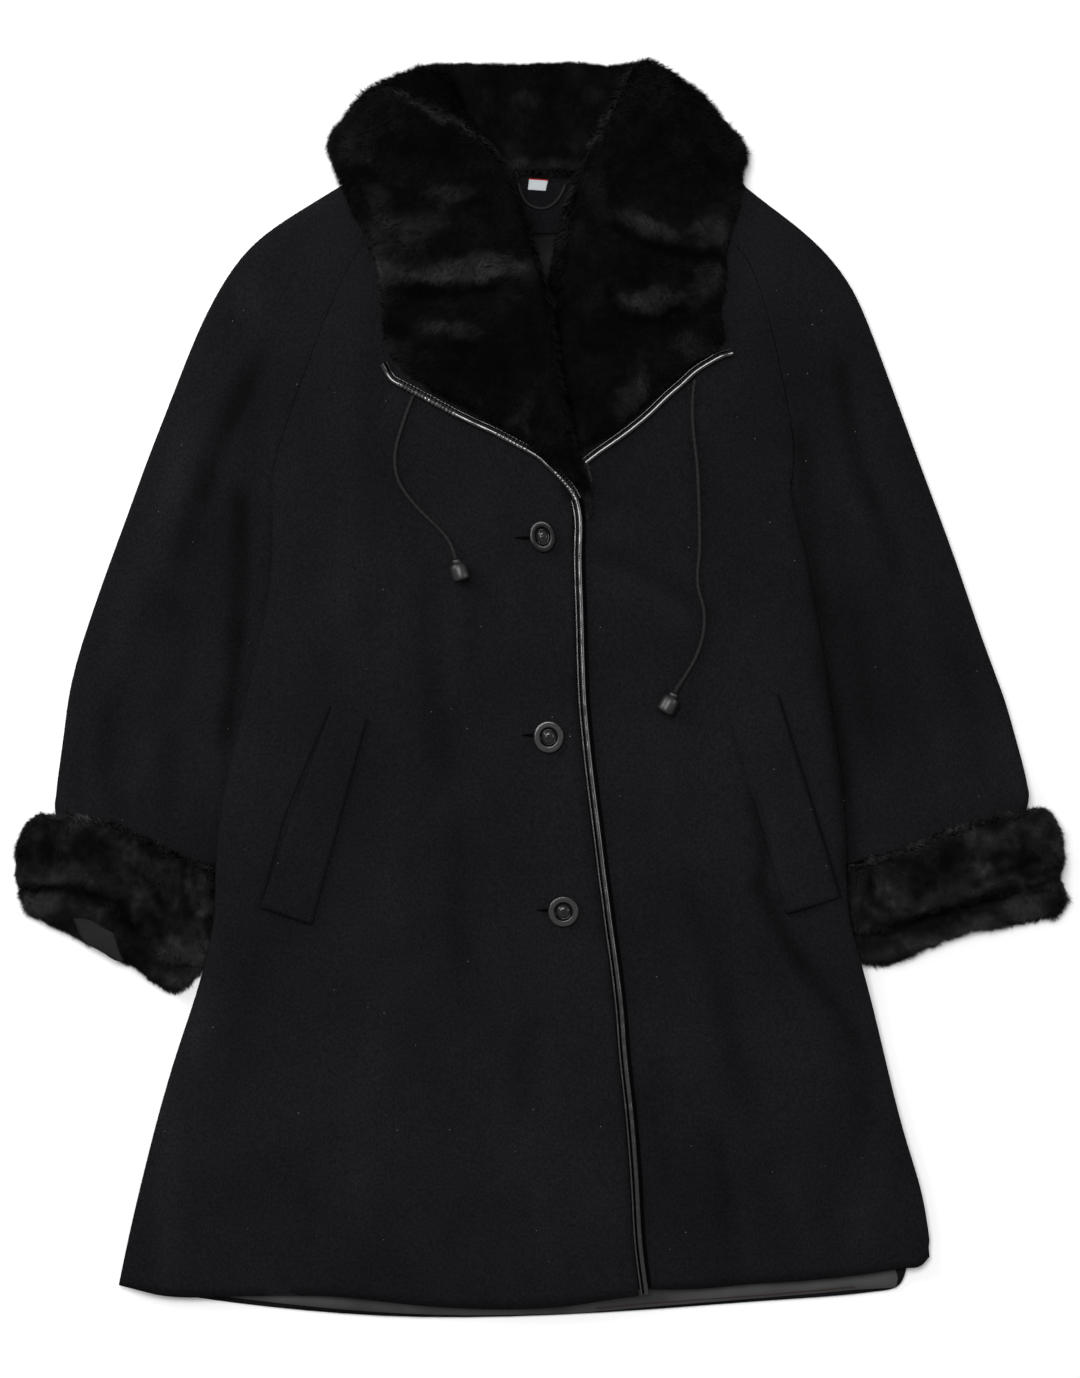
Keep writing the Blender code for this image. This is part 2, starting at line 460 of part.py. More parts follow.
def shell(name, outer, inner, material, keep=None, around=False):
    """Makes a wall from two grids of points, an outer and an inner one.

    keep(row, column) says which cells the wall has, and around joins the last column to the first.
    """
    rows, columns = len(outer), len(outer[0])
    cells = []
    for r in range(rows - 1):
        for c in range(columns if around else columns - 1):
            if keep is None or keep(r, c):
                n = (c + 1) % columns
                cells.append(((r, c), (r, n), (r + 1, n), (r + 1, c)))
    number, points = {}, []

    def point(layer, key):
        if (layer, key) not in number:
            number[(layer, key)] = len(points)
            points.append((outer if layer == 0 else inner)[key[0]][key[1]])
        return number[(layer, key)]

    directed = {}
    faces = []
    for cell in cells:
        faces.append([point(0, key) for key in cell])
        faces.append([point(1, key) for key in reversed(cell)])
        for a, b in zip(cell, cell[1:] + cell[:1]):
            directed[(a, b)] = True
    for a, b in directed:
        if (b, a) not in directed:
            faces.append([point(0, b), point(0, a), point(1, a), point(1, b)])
    return make_object(name, points, faces, material)


def offset_path(path, wall, flip):
    """Moves each point of an (along, z) path sideways by the wall's thickness."""
    moved = []
    for i, (s, z) in enumerate(path):
        before, after = path[max(i - 1, 0)], path[min(i + 1, len(path) - 1)]
        ds, dz = after[0] - before[0], after[1] - before[1]
        length = math.hypot(ds, dz) or 1.0
        moved.append((s + flip * wall * dz / length, z - flip * wall * ds / length))
    return moved


def row_ys():
    """Level rows of the body, then the rows that bend to the hem, as (level, share of the way)."""
    rows = [(float(level), 0.0) for level in ROW_LEVELS]
    return rows + [(STRAIGHT_HEM_Y, (i + 1) / HEM_ROWS) for i in range(HEM_ROWS)]


def bend_to_hem(level, share, hem, x):
    """Y of a point on a body row, at X."""
    return level + share * (hem(x) - level)


def front_panel(name, side, sign, inner_edge, hem, height):
    """Makes a front: a side roll, then level rows across to the inner edge. Sign is +1 towards +X."""
    outer, inner = [], []
    for level, share in row_ys():
        y_edge = level + share * (FRONT_HEM_Y - level)
        rolled = roll_amount(y_edge)
        scale = plateau(y_edge) / PLATEAU
        seam_x = side(y_edge)
        seam_z = height(seam_x, y_edge)
        lift = side_lift(y_edge)
        path = []
        for i, point in enumerate(ROLL):
            inset = rolled * point.inset + (1 - rolled) * i * FLAT_ROLL_STEP
            z = rolled * (point.z * scale + lift) + (1 - rolled) * seam_z
            path.append((inset, z))
        start = rolled * ROLL_END + (1 - rolled) * len(ROLL) * FLAT_ROLL_STEP
        width = abs(inner_edge(y_edge) - seam_x)
        for fraction in FRONT_COLUMNS:
            inset = start + fraction * (width - start)
            x = seam_x + sign * inset
            path.append((inset, height(x, bend_to_hem(level, share, hem, x))))
        back_path = offset_path(path, WOOL, 1)
        outer.append([row_point(seam_x + sign * s, level, share, hem, z) for s, z in path])
        inner.append([row_point(seam_x + sign * s, level, share, hem, z) for s, z in back_path])
    shell(name, outer, inner, "wool")


def row_point(x, level, share, hem, z):
    return (x, bend_to_hem(level, share, hem, x), z)


def over_height(x, y):
    """Outer side of the upper front, raised where it laps the under front."""
    lap = ease(x, front_edge(y) - LAP_WIDTH - 55, front_edge(y) - LAP_WIDTH + 5)
    return body_height(x, y) + LAP_RISE * lap


def under_height(x, y):
    """Outer side of the under front, pressed down below the lap."""
    lap = 1 - ease(x, front_edge(y) + 2, front_edge(y) + 16)
    return body_height(x, y) - LAP_SINK * lap


def back_panel():
    """Makes the wool back: flat on the surface, its sides raised to the side seams."""
    outer, inner = [], []
    rows = [(NECK_SEAM_Y, 0.0)] + row_ys()
    for level, share in rows:
        y = level + share * (BACK_HEM_Y - level)
        rolled = roll_amount(y)
        rise = rolled * (ROLL[0].z * plateau(y) / PLATEAU + side_lift(y))
        gap = rolled * (ROLL[0].inset + SEAM) + share * BACK_HEM_INSET
        low, high = right_side(y) + gap, left_side(y) - gap
        xs = [(low + step.inset, rise * step.share) for step in BACK_RISE]
        xs += [(low + share_in * (high - low), 0.0) for share_in in BACK_COLUMNS]
        xs += [(high - step.inset, rise * step.share) for step in reversed(BACK_RISE)]
        outer.append([row_point(x, level, share, back_hem, z) for x, z in xs])
        inner.append([row_point(x, level, share, back_hem, z + WOOL) for x, z in xs])
    shell("back", outer, inner, "wool")


def back_lining():
    """Makes the satin lining on the back, from the neck facing to just above the back's hem."""
    low_z = WOOL + GAP
    outer, inner = [], []
    for level, share in [(FACING_LOW_Y - 1.0, 0.0)] + row_ys()[2:]:
        y = level + share * (BACK_HEM_Y - level)
        low, high = right_side(y) + BACK_LINING_INSET, left_side(y) - BACK_LINING_INSET
        xs = [low + i / BACK_LINING_COLUMNS * (high - low) for i in range(BACK_LINING_COLUMNS + 1)]
        outer.append([(x, bend_to_hem(level, share, back_hem, x) + share * BACK_LINING_SHORT, low_z)
                      for x in xs])
        inner.append([(x, y_in, low_z + LINING) for x, y_in, _ in outer[-1]])
    shell("back_lining", outer, inner, "satin")


def sleeve(name, side, sign, tops, tail):
    """Makes a raglan sleeve: open along its two seams above the armpit and a flat tube below."""
    levels = ROW_LEVELS[:len(tops)]
    rows = []
    for level, (outer_x, outer_y) in zip(levels, tops):
        rolled = roll_amount(level)
        tuck = (ROLL[0].inset - 5) * rolled - SEAM * (1 - rolled)
        rows.append((SleeveRow(side(level) + sign * tuck, level, outer_x, outer_y), rolled))
    rows += [(row, 1.0) for row in tail]
    outer, inner = [], []
    for number, (row, rolled) in enumerate(rows):
        start = Vector((row.inner_x, row.inner_y))
        end = Vector((row.outer_x, row.outer_y))
        length = (end - start).length
        direction = (end - start) / length
        into_cuff = ease(number, len(rows) - 5.5, len(rows) - 3)
        low = into_cuff * SLEEVE_IN_CUFF[0]
        high = SLEEVE_TOP + into_cuff * (SLEEVE_IN_CUFF[1] - SLEEVE_TOP)
        seam_z = body_height(side(row.inner_y), row.inner_y) - 0.5 * ease(rolled, 0.0, 0.1)
        inner_z = (1 - rolled) * seam_z + rolled * (SLEEVE_INNER + low)
        flat = rolled * SLEEVE_FLAT
        fold_z = (high + low) / 2
        path = [(0.0, inner_z - rolled * 1.6), (2.0 + flat * 0.2, inner_z), (flat + 3.0, inner_z + 0.4)]
        for share in SLEEVE_TOP_COLUMNS:
            s = flat + 3.0 + share * (length - flat - 3.0 - 5.0)
            spot = start + direction * s
            top = high - (high - inner_z) * rolled * math.exp(-(s - flat) / SLEEVE_SLOPE)
            top += fold_height(SLEEVE_FOLDS, spot.x, spot.y) * (1 - into_cuff) * ease(share, 0.0, 0.2)
            path.append((s, top))
        bulge = min(SLEEVE_END_BULGE, (high - low) / 2 - 1.8)
        path += [(length - 2.2, fold_z + bulge), (length, fold_z), (length - 2.2, fold_z - bulge),
                 (length - 9.0, low)]
        path += [(length * share, low) for share in SLEEVE_UNDER_COLUMNS]
        path += [(flat + 6.0, low), (0.0 + 2.0 * rolled, low)]
        wall = offset_path(path, WOOL, 1)
        wall[0] = (wall[0][0] * (1 - rolled) + rolled * (path[0][0] + WOOL), path[0][1] - WOOL * (1 - rolled))
        wall[-1] = (path[-1][0] + WOOL * rolled, low + WOOL)
        outer.append([(start.x + direction.x * s, start.y + direction.y * s, z) for s, z in path])
        inner.append([(start.x + direction.x * s, start.y + direction.y * s, z) for s, z in wall])
    last = len(outer[0]) - 1
    shell(name, outer, inner, "wool", keep=lambda r, c: c != last or r >= RAGLAN_ROWS - 1, around=True)


def cuff(name, edges):
    """Makes a fur cuff: a flat tube whose far layer shows past the near one."""
    outer, inner = [], []
    for station in CUFF_STATIONS:
        outer_row, inner_row = [], []
        for i in range(CUFF_SIDES):
            angle = 2 * math.pi * i / CUFF_SIDES
            across = 0.5 - 0.5 * math.copysign(abs(math.cos(angle))**CUFF_ROUND[0], math.cos(angle))
            lift = math.copysign(abs(math.sin(angle))**CUFF_ROUND[1], math.sin(angle))
            taper = CUFF_INNER_END + (1 - CUFF_INNER_END) * ease(across, 0.0, CUFF_END_LENGTH)
            middle = CUFF_HEIGHT * taper / 2
            thick = CUFF_WALL * (0.62 + 0.38 * taper)
            near_end = edge_point(edges.near, across)
            far_end = edge_point(edges.far, across)
            end = near_end.lerp(far_end, ease(-lift, -0.25, 0.35))
            inward = thick / CUFF_WIDTH
            across_in = inward + across * (1 - 2 * inward)
            mouth, mouth_in = edge_point(edges.mouth, across), edge_point(edges.mouth, across_in)
            outward = math.copysign(1.0, mouth.x)
            bulge = cuff_bulge(station.along * (end - mouth).length) * ease(across, 0.55, 1.0)
            spot = mouth.lerp(end, station.along) + Vector((outward * bulge, 0))
            spot_in = mouth_in + (spot - mouth)
            outer_row.append((spot.x, spot.y, middle + middle * lift * (station.height if lift > 0 else 1.0)))
            if lift < 0:
                thick *= 1 + CUFF_ROLL * ease(station.along, 0.5, 0.95) * ease(across, 0.02, 0.2)
            inner_row.append((spot_in.x, spot_in.y, middle + (middle - thick) * lift * 0.98))
        outer.append(outer_row)
        inner.append(inner_row)
    shell(name, outer, inner, "fur", around=True)


def edge_point(edge, across):
    """Point on one edge of a cuff, from 0 at its inner end to 1 at its outer end."""
    return Vector((column(edge, "across", "x")(across), column(edge, "across", "y")(across)))


def bezier(a, m, b, t):
    """Point of the curve that goes from a through m, at one half, to b."""
    control = 2 * m - (a + b) / 2
    return (1 - t)**2 * a + 2 * t * (1 - t) * control + t * t * b


def lobe(name, rows, beneath, reach):
    """Makes a collar lobe of thick fur, laid on what is beneath it, with a rolled inner edge."""
    outer, inner = [], []
    for row in rows:
        a, m = Vector((row.outer_x, row.outer_y)), Vector((row.mid_x, row.mid_y))
        b = Vector((row.inner_x, row.inner_y))
        section = LOBE_SECTION if row.rolled else FLAT_LOBE_SECTION
        outer_row, inner_row = [], []
        for point in section:
            spot, spot_in = bezier(a, m, b, point.across), bezier(a, m, b, point.across_in)
            rest = draped(beneath, spot.x, spot.y, reach) + GAP
            rest_in = draped(beneath, spot_in.x, spot_in.y, reach) + GAP
            outer_row.append((spot.x, spot.y, rest + point.top * row.height))
            inner_row.append((spot_in.x, spot_in.y, rest_in + point.under * row.height))
        while len(outer_row) < len(LOBE_SECTION):
            outer_row.append(outer_row[-1])
            inner_row.append(inner_row[-1])
        outer.append(outer_row)
        inner.append(inner_row)
    flat_cells = len(FLAT_LOBE_SECTION) - 1
    shell(name, outer, inner, "fur",
          keep=lambda r, c: c < flat_cells or (rows[r].rolled and rows[r + 1].rolled))


def collar_band():
    """Makes the fur band behind the neck, folded over at the top."""
    outer, inner = [], []
    for x in BAND_COLUMNS:
        top = band_top(x)
        outer_row, inner_row = [], []
        for i, point in enumerate(BAND_SECTION):
            start = BAND_LOW_Y if i < OUTER_LEAF_POINTS else BAND_BOTTOM_Y
            outer_row.append((x, start + point.along * (top - start), point.out_z))
            inner_row.append((x, start + point.in_along * (top - start), point.in_z))
        outer.append(outer_row)
        inner.append(inner_row)
    shell("collar_back", outer, inner, "fur")


def laid_strip(name, corners, cells_long, cells_wide, thick, beneath, reach, material):
    """Makes a flat four-cornered strip that follows the panel beneath it."""
    a, b, c, d = (Vector(corner) for corner in corners)
    outer, inner = [], []
    for i in range(cells_long + 1):
        t = i / cells_long
        left, right = a.lerp(d, t), b.lerp(c, t)
        outer_row, inner_row = [], []
        for j in range(cells_wide + 1):
            spot = left.lerp(right, j / cells_wide)
            rest = highest(beneath, spot.x, spot.y, reach) + GAP
            outer_row.append((spot.x, spot.y, rest + thick))
            inner_row.append((spot.x, spot.y, rest))
        outer.append(outer_row)
        inner.append(inner_row)
    shell(name, outer, inner, material)


def smooth_route(points, step):
    """Reads evenly spaced points from a smooth curve through the route's own points."""
    knots = [Vector(point) for point in points]
    ends = [2 * knots[0] - knots[1]] + knots + [2 * knots[-1] - knots[-2]]
    dense = []
    for i in range(1, len(ends) - 2):
        p0, p1, p2, p3 = ends[i - 1:i + 3]
        for k in range(12):
            t = k / 12
            dense.append(0.5 * ((2 * p1) + (p2 - p0) * t + (2 * p0 - 5 * p1 + 4 * p2 - p3) * t * t
                                + (3 * p1 - p0 - 3 * p2 + p3) * t**3))
    dense.append(knots[-1])
    lengths = [0.0]
    for a, b in zip(dense, dense[1:]):
        lengths.append(lengths[-1] + (b - a).length)
    count = max(int(round(lengths[-1] / step)), 2)
    route = []
    for i in range(count + 1):
        wanted = lengths[-1] * i / count
        j = min(max(int(np.searchsorted(lengths, wanted)), 1), len(dense) - 1)
        share = (wanted - lengths[j - 1]) / (lengths[j] - lengths[j - 1])
        route.append(dense[j - 1].lerp(dense[j], share))
    return route


def swept(name, route, profile, heights, material, flip=1):
    """Sweeps a closed profile of (across, z) points along a route on the cloth."""
    points, faces = [], []
    count = len(profile)
    for i, spot in enumerate(route):
        ahead = (route[min(i + 1, len(route) - 1)] - route[max(i - 1, 0)]).normalized()
        across = Vector((ahead.y, -ahead.x)) * flip
        for point in profile:
            points.append((spot.x + across.x * point.across, spot.y + across.y * point.across,
                           heights[i] + point.z))
    for i in range(len(route) - 1):
        for k in range(count):
            n = (k + 1) % count
            faces.append([i * count + k, i * count + n, (i + 1) * count + n, (i + 1) * count + k])
    faces.append(list(range(count)))
    faces.append([(len(route) - 1) * count + k for k in reversed(range(count))])
    return make_object(name, points, faces, material)


def turned(name, profile, sides, place, material):
    """Turns a profile of (along, radius) points about its own axis, and closes both ends."""
    points, faces = [], []
    for along, radius in profile:
        for k in range(sides):
            angle = 2 * math.pi * k / sides
            points.append(place(radius * math.cos(angle), radius * math.sin(angle), along))
    for i in range(len(profile) - 1):
        for k in range(sides):
            n = (k + 1) % sides
            faces.append([i * sides + k, i * sides + n, (i + 1) * sides + n, (i + 1) * sides + k])
    faces.append([k for k in reversed(range(sides))])
    faces.append([(len(profile) - 1) * sides + k for k in range(sides)])
    return make_object(name, points, faces, material)


def button(spec):
    """Makes a button with a rounded rim and a sunk middle, lying on the upper front."""
    rest = highest(["front_right"], spec.x, spec.y, 11.0) + GAP
    tilt = math.radians(spec.tilt)
    x_stretch = 0.92 if spec.tilt > 10 else 1.0

    def place(a, b, z):
        a *= x_stretch
        return (spec.x + a * math.cos(tilt) - b * math.sin(tilt),
                spec.y + a * math.sin(tilt) + b * math.cos(tilt), rest + z)

    turned(spec.name, [(point.z, point.radius) for point in BUTTON_PROFILE], BUTTON_SIDES, place, "horn")


def cord_and_toggle(side, route, beneath):
    """Makes a cord end on the cloth and the bell toggle at its end."""
    path = smooth_route(route, CORD_STEP)
    end, before = path[-1], path[-2]
    ahead = (end - before).normalized()
    side_way = Vector((ahead.y, -ahead.x))
    middle = end + ahead * 9.0
    axis_z = highest(beneath, middle.x, middle.y, 8.0) + GAP + max(p.radius for p in TOGGLE_PROFILE)
    curve = bpy.data.curves.new("cord_" + side, "CURVE")
    curve.dimensions = "3D"
    curve.bevel_depth = CORD_RADIUS * MM
    curve.bevel_resolution = 2
    curve.use_fill_caps = True
    spline = curve.splines.new("POLY")
    spline.points.add(len(path) - 1)
    for i, spot in enumerate(path):
        low = highest(beneath, spot.x, spot.y, CORD_REACH) + GAP + CORD_RADIUS + 0.1
        to_end = (spot - end).length
        z = low + (axis_z - low) * (1 - ease(to_end, 0.0, CORD_RISE))
        spline.points[i].co = (spot.x * MM, spot.y * MM, z * MM, 1.0)
    curve.materials.append(make_material("cord_" + side, "cord"))
    item = bpy.data.objects.new("cord_" + side, curve)
    bpy.context.scene.collection.objects.link(item)

    def place(a, b, along):
        spot = end + ahead * (GAP + along) + side_way * a
        return (spot.x, spot.y, axis_z + b)

    turned("toggle_" + side, [(p.along, p.radius) for p in TOGGLE_PROFILE], TOGGLE_SIDES, place, "horn")


def hanger_loop():
    """Makes the satin loop at the back neck, lying on the neck facing."""
    route = smooth_route(LOOP_PATH, 6.0)
    half = LOOP_THICK / 2
    profile = [TrimPoint(-half, 0.6), TrimPoint(-half * 0.5, 0.0), TrimPoint(half * 0.5, 0.0),
               TrimPoint(half, 0.6), TrimPoint(half * 0.6, 2.0), TrimPoint(-half * 0.6, 2.0)]
    heights = [highest(["neck_facing", "label"], spot.x, spot.y, 2.0) + GAP for spot in route]
    swept("hanger_loop", route, profile, heights, "satin")


def neck_facing():
    """Makes the wool facing inside the back neck, lying on the back panel."""
    low_z = WOOL + GAP
    outer, inner = [], []
    for row in FACING:
        xs = [row.half * (2 * i / FACING_COLUMNS - 1) for i in range(FACING_COLUMNS + 1)]
        inner.append([(x, row.y + row.sag * (x / row.half)**2, low_z) for x in xs])
        outer.append([(x, y, z + FACING_THICK) for x, y, z in inner[-1]])
    shell("neck_facing", outer, inner, "wool")


def front_binding():
    """Makes the leather binding on the upper front's edge, from the collar to the hem."""
    route, heights = [], []
    for level, share in row_ys():
        if level <= BREAK_Y:
            y_edge = level + share * (FRONT_HEM_Y - level)
            x = front_edge(y_edge) - 3.4
            y = bend_to_hem(level, share, right_hem, x)
            route.append(Vector((x, y)))
            heights.append(over_height(front_edge(y_edge) - BINDING, y) - WOOL - 0.5)
    swept("trim_front", route, TRIM_PROFILE, heights, "leather", flip=-1)


def collar_binding(side, path, flip):
    """Makes the leather binding along the lower edge of one collar lobe."""
    route = smooth_route(path, TRIM_STEP)
    heights = [highest(["front_right", "front_left"], spot.x, spot.y, TRIM_REACH) + GAP for spot in route]
    swept("trim_collar_" + side, route, TRIM_PROFILE, heights, "leather", flip=flip)


def sleeve_lining():
    """Makes the patch of sleeve lining that shows in the mouth of the right cuff."""
    laid_strip("sleeve_lining_right", CUFF_LINING, 3, 3, LINING, ["cuff_right"], 6.0, "satin")


def build():
    for item in list(bpy.data.objects):
        bpy.data.objects.remove(item, do_unlink=True)
    back_panel()
    back_lining()
    neck_facing()
    x0, x1, y0, y1 = LABEL_BOX
    corners = [(x0, y1), (x1, y1), (x1, y0), (x0, y0)]
    laid_strip("label", corners, 1, 2, LABEL_THICK, ["neck_facing"], 0.0, "label")
    hanger_loop()
    sleeve("sleeve_right", right_side, 1, SLEEVE_RIGHT_TOP, SLEEVE_RIGHT_TAIL)
    sleeve("sleeve_left", left_side, -1, SLEEVE_LEFT_TOP, SLEEVE_LEFT_TAIL)
    cuff("cuff_right", CUFF_RIGHT)
    cuff("cuff_left", CUFF_LEFT)
    sleeve_lining()
    front_panel("front_right", right_side, 1, lambda y: front_edge(y) - BINDING, right_hem, over_height)
    front_panel("front_left", left_side, -1, under_edge, left_hem, under_height)
    front_binding()
    collar_band()
    cloth = ["back", "back_lining", "neck_facing", "hanger_loop", "label", "sleeve_right", "sleeve_left",
             "front_right", "front_left", "trim_front", "collar_back"]
    lobe("collar_left", LOBE_LEFT, cloth, LOBE_REACH)
    lobe("collar_right", LOBE_RIGHT, cloth + ["collar_left"], LOBE_REACH)
    collar_binding("right", TRIM_RIGHT_PATH, 1)
    collar_binding("left", TRIM_LEFT_PATH, -1)
    for spec in BUTTONS:
        button(spec)
    laid_strip("welt_right", WELT_RIGHT, *WELT_CELLS, WELT_THICK, ["front_right"], WELT_REACH, "wool")
    laid_strip("welt_left", WELT_LEFT, *WELT_CELLS, WELT_THICK, ["front_left"], WELT_REACH, "wool")
    cord_and_toggle("right", CORD_RIGHT_ROUTE, ["front_right"])
    cord_and_toggle("left", CORD_LEFT_ROUTE, ["front_left"])


build()
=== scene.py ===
"""The looks of an A-line wool coat with fur collar and cuffs, laid on its back.

The coat lies in the XY plane with its collar towards +Y and its front up. Lengths in the tables are in
millimetres, and "right" and "left" are the wearer's, so the right side is at -X.
"""

import itertools
import math
from collections import namedtuple

import bmesh
import bpy
import numpy as np
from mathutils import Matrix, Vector
from mathutils.bvhtree import BVHTree


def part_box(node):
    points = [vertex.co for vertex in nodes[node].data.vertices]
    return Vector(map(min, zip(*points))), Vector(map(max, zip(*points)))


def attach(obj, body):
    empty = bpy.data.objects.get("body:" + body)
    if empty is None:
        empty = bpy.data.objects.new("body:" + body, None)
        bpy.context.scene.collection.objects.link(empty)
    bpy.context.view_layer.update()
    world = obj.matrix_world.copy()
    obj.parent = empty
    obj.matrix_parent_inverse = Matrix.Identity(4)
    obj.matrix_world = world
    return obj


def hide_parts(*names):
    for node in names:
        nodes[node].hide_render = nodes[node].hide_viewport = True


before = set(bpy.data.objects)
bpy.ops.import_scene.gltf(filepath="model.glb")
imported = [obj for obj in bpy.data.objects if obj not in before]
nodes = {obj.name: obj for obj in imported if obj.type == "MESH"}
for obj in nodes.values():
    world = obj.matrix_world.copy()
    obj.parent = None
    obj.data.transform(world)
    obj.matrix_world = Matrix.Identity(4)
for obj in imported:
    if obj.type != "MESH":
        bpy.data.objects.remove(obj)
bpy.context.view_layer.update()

MM = 0.001
CAMERA_HEIGHT = 2670.0       # above the surface that the coat lies on
VIEW_HEIGHT = 1130.0         # height of what the photo frames there
SENSOR = 36.0
Light = namedtuple("Light", "name place width height power")
LIGHTS = [
    Light("softbox_top", (-0.5, 0.9, 3.3), 1.8, 1.4, 100),
    Light("softbox_left", (-2.3, 1.6, 1.3), 1.2, 1.6, 52),
    Light("softbox_right", (2.6, 0.4, 1.6), 1.2, 1.6, 20),
]
FLOOR_HALF, FLOOR_TOP = 6.0, -0.0004

# Camera, lights and floor


def add_object(name, data):
    item = bpy.data.objects.new(name, data)
    bpy.context.scene.collection.objects.link(item)
    return item


def make_camera():
    """Looks straight down, as the photo does."""
    data = bpy.data.cameras.new("camera")
    data.sensor_fit = "VERTICAL"
    data.sensor_height = SENSOR
    data.lens = SENSOR * CAMERA_HEIGHT / VIEW_HEIGHT
    data.clip_start = 0.05
    data.clip_end = 20.0
    camera = add_object("camera", data)
    camera.location = (0.0, 0.0, CAMERA_HEIGHT * MM)
    bpy.context.scene.camera = camera


def make_light(spec):
    """Makes a softbox aimed at the middle of the coat."""
    data = bpy.data.lights.new(spec.name, "AREA")
    data.shape = "RECTANGLE"
    data.size, data.size_y = spec.width, spec.height
    data.energy = spec.power
    light = add_object(spec.name, data)
    light.location = spec.place
    light.rotation_euler = (-Vector(spec.place)).to_track_quat("-Z", "Y").to_euler()


def make_studio():
    """Pale floor, a bright room and three softboxes."""
    world = bpy.data.worlds.new("studio")
    world.use_nodes = True
    background = world.node_tree.nodes["Background"]
    background.inputs["Color"].default_value = (1.0, 1.0, 1.0, 1.0)
    background.inputs["Strength"].default_value = 0.30
    bpy.context.scene.world = world
    bpy.context.scene.view_settings.view_transform = "Standard"
    for spec in LIGHTS:
        make_light(spec)
    mesh = bpy.data.meshes.new("floor")
    mesh.from_pydata([(x * FLOOR_HALF, y * FLOOR_HALF, 0) for x, y in ((-1, -1), (1, -1), (1, 1), (-1, 1))],
                     [], [(0, 1, 2, 3)])
    floor = add_object("floor", mesh)
    floor.location.z = FLOOR_TOP
    mesh.materials.append(plain_material("floor", (0.93, 0.93, 0.93), 0.9))


# Materials


def feed(material, socket, value):
    """Links an output into a socket, or sets the socket to a value."""
    if isinstance(value, bpy.types.NodeSocket):
        material.node_tree.links.new(value, socket)
    elif socket.type == "RGBA":
        socket.default_value = (*value, 1.0)
    else:
        socket.default_value = value


def set_shader(material, **values):
    """Sets or links the shader's sockets, named with _ for a space."""
    shader = material.node_tree.nodes["Principled BSDF"]
    for key, value in values.items():
        feed(material, shader.inputs[key.replace("_", " ")], value)


def plain_material(name, colour, roughness, gloss=0.5):
    """Makes a material of one colour."""
    material = bpy.data.materials.new(name)
    material.use_nodes = True
    set_shader(material, Base_Color=colour, Roughness=roughness, Specular_IOR_Level=gloss)
    return material


def add_node(material, kind, inputs, **settings):
    """Adds a shader node; its inputs are values or outputs of other nodes, by name or number."""
    node = material.node_tree.nodes.new(kind)
    for key, value in settings.items():
        setattr(node, key, value)
    for key, value in inputs.items():
        feed(material, node.inputs[key], value)
    return node


def place_of(material, stretch=(1.0, 1.0, 1.0)):
    """Object coordinates, stretched."""
    coordinates = add_node(material, "ShaderNodeTexCoord", {})
    mapping = {"Scale": stretch, "Vector": coordinates.outputs["Object"]}
    return add_node(material, "ShaderNodeMapping", mapping).outputs["Vector"]


def noise(material, vector, scale, detail=3.0, roughness=0.6):
    values = {"Scale": scale, "Detail": detail, "Roughness": roughness, "Vector": vector}
    return add_node(material, "ShaderNodeTexNoise", values).outputs["Fac"]


def ramp(material, value, start, low, end, high):
    """Goes from one colour at the start to another at the end of a value's range."""
    node = add_node(material, "ShaderNodeValToRGB", {"Fac": value})
    for element, position, colour in zip(node.color_ramp.elements, (start, end), (low, high)):
        element.position = position
        element.color = (*colour, 1.0)
    return node.outputs["Color"]


def tone_of(material, output="Color"):
    """How light each point of the mesh is."""
    return add_node(material, "ShaderNodeAttribute", {}, attribute_name="tone").outputs[output]


def multiplied(material, a, b):
    """The product of two colours."""
    values = {"Factor": 1.0, 6: a, 7: b}
    return add_node(material, "ShaderNodeMix", values, data_type="RGBA", blend_type="MULTIPLY").outputs[2]


def calculated(material, a, operation, b):
    return add_node(material, "ShaderNodeMath", {0: a, 1: b}, operation=operation).outputs[0]


def bump(material, heights, strength):
    """Chains bumps from (height, distance) pairs into the shader's normal."""
    values = {}
    for height, distance in heights:
        values.update({"Strength": strength, "Distance": distance, "Height": height})
        values["Normal"] = add_node(material, "ShaderNodeBump", values).outputs["Normal"]
    set_shader(material, Normal=values["Normal"])


def wool_material(name):
    """Felted black wool with a short nap, mottled a little, with pale lint."""
    material = plain_material(name, (0.0070, 0.0070, 0.0078), 0.92, 0.04)
    place = place_of(material)
    mottle = noise(material, place, 9.0, 4.0, 0.62)
    nap = noise(material, place_of(material, (1.0, 0.7, 1.0)), 600.0, 3.0, 0.75)
    clumps = noise(material, place, 230.0, 3.0, 0.6)
    base = ramp(material, mottle, 0.30, (0.0046, 0.0046, 0.0054), 0.72, (0.0070, 0.0070, 0.0081))
    fibres = ramp(material, nap, 0.36, (0.66, 0.66, 0.67), 0.66, (1.41, 1.41, 1.39))
    # The tone scales the colour with painted shade in the creases and painted light and shade in soft ovals.
    felt = multiplied(material, multiplied(material, base, tone_of(material)), fibres)
    cells = add_node(material, "ShaderNodeTexVoronoi", {"Scale": 72.0, "Vector": place}, feature="F1")
    colour = add_node(material, "ShaderNodeSeparateColor", {"Color": cells.outputs["Color"]})
    near = calculated(material, cells.outputs["Distance"], "LESS_THAN", 0.032)
    rare = calculated(material, colour.outputs["Red"], "GREATER_THAN", 0.50)
    specks = {"Factor": calculated(material, near, "MULTIPLY", rare), 6: felt, 7: (0.085, 0.085, 0.080)}
    lint = add_node(material, "ShaderNodeMix", specks, data_type="RGBA")
    set_shader(material, Base_Color=lint.outputs[2])
    bump(material, [(clumps, 0.0005), (nap, 0.0004)], 0.7)
    return material


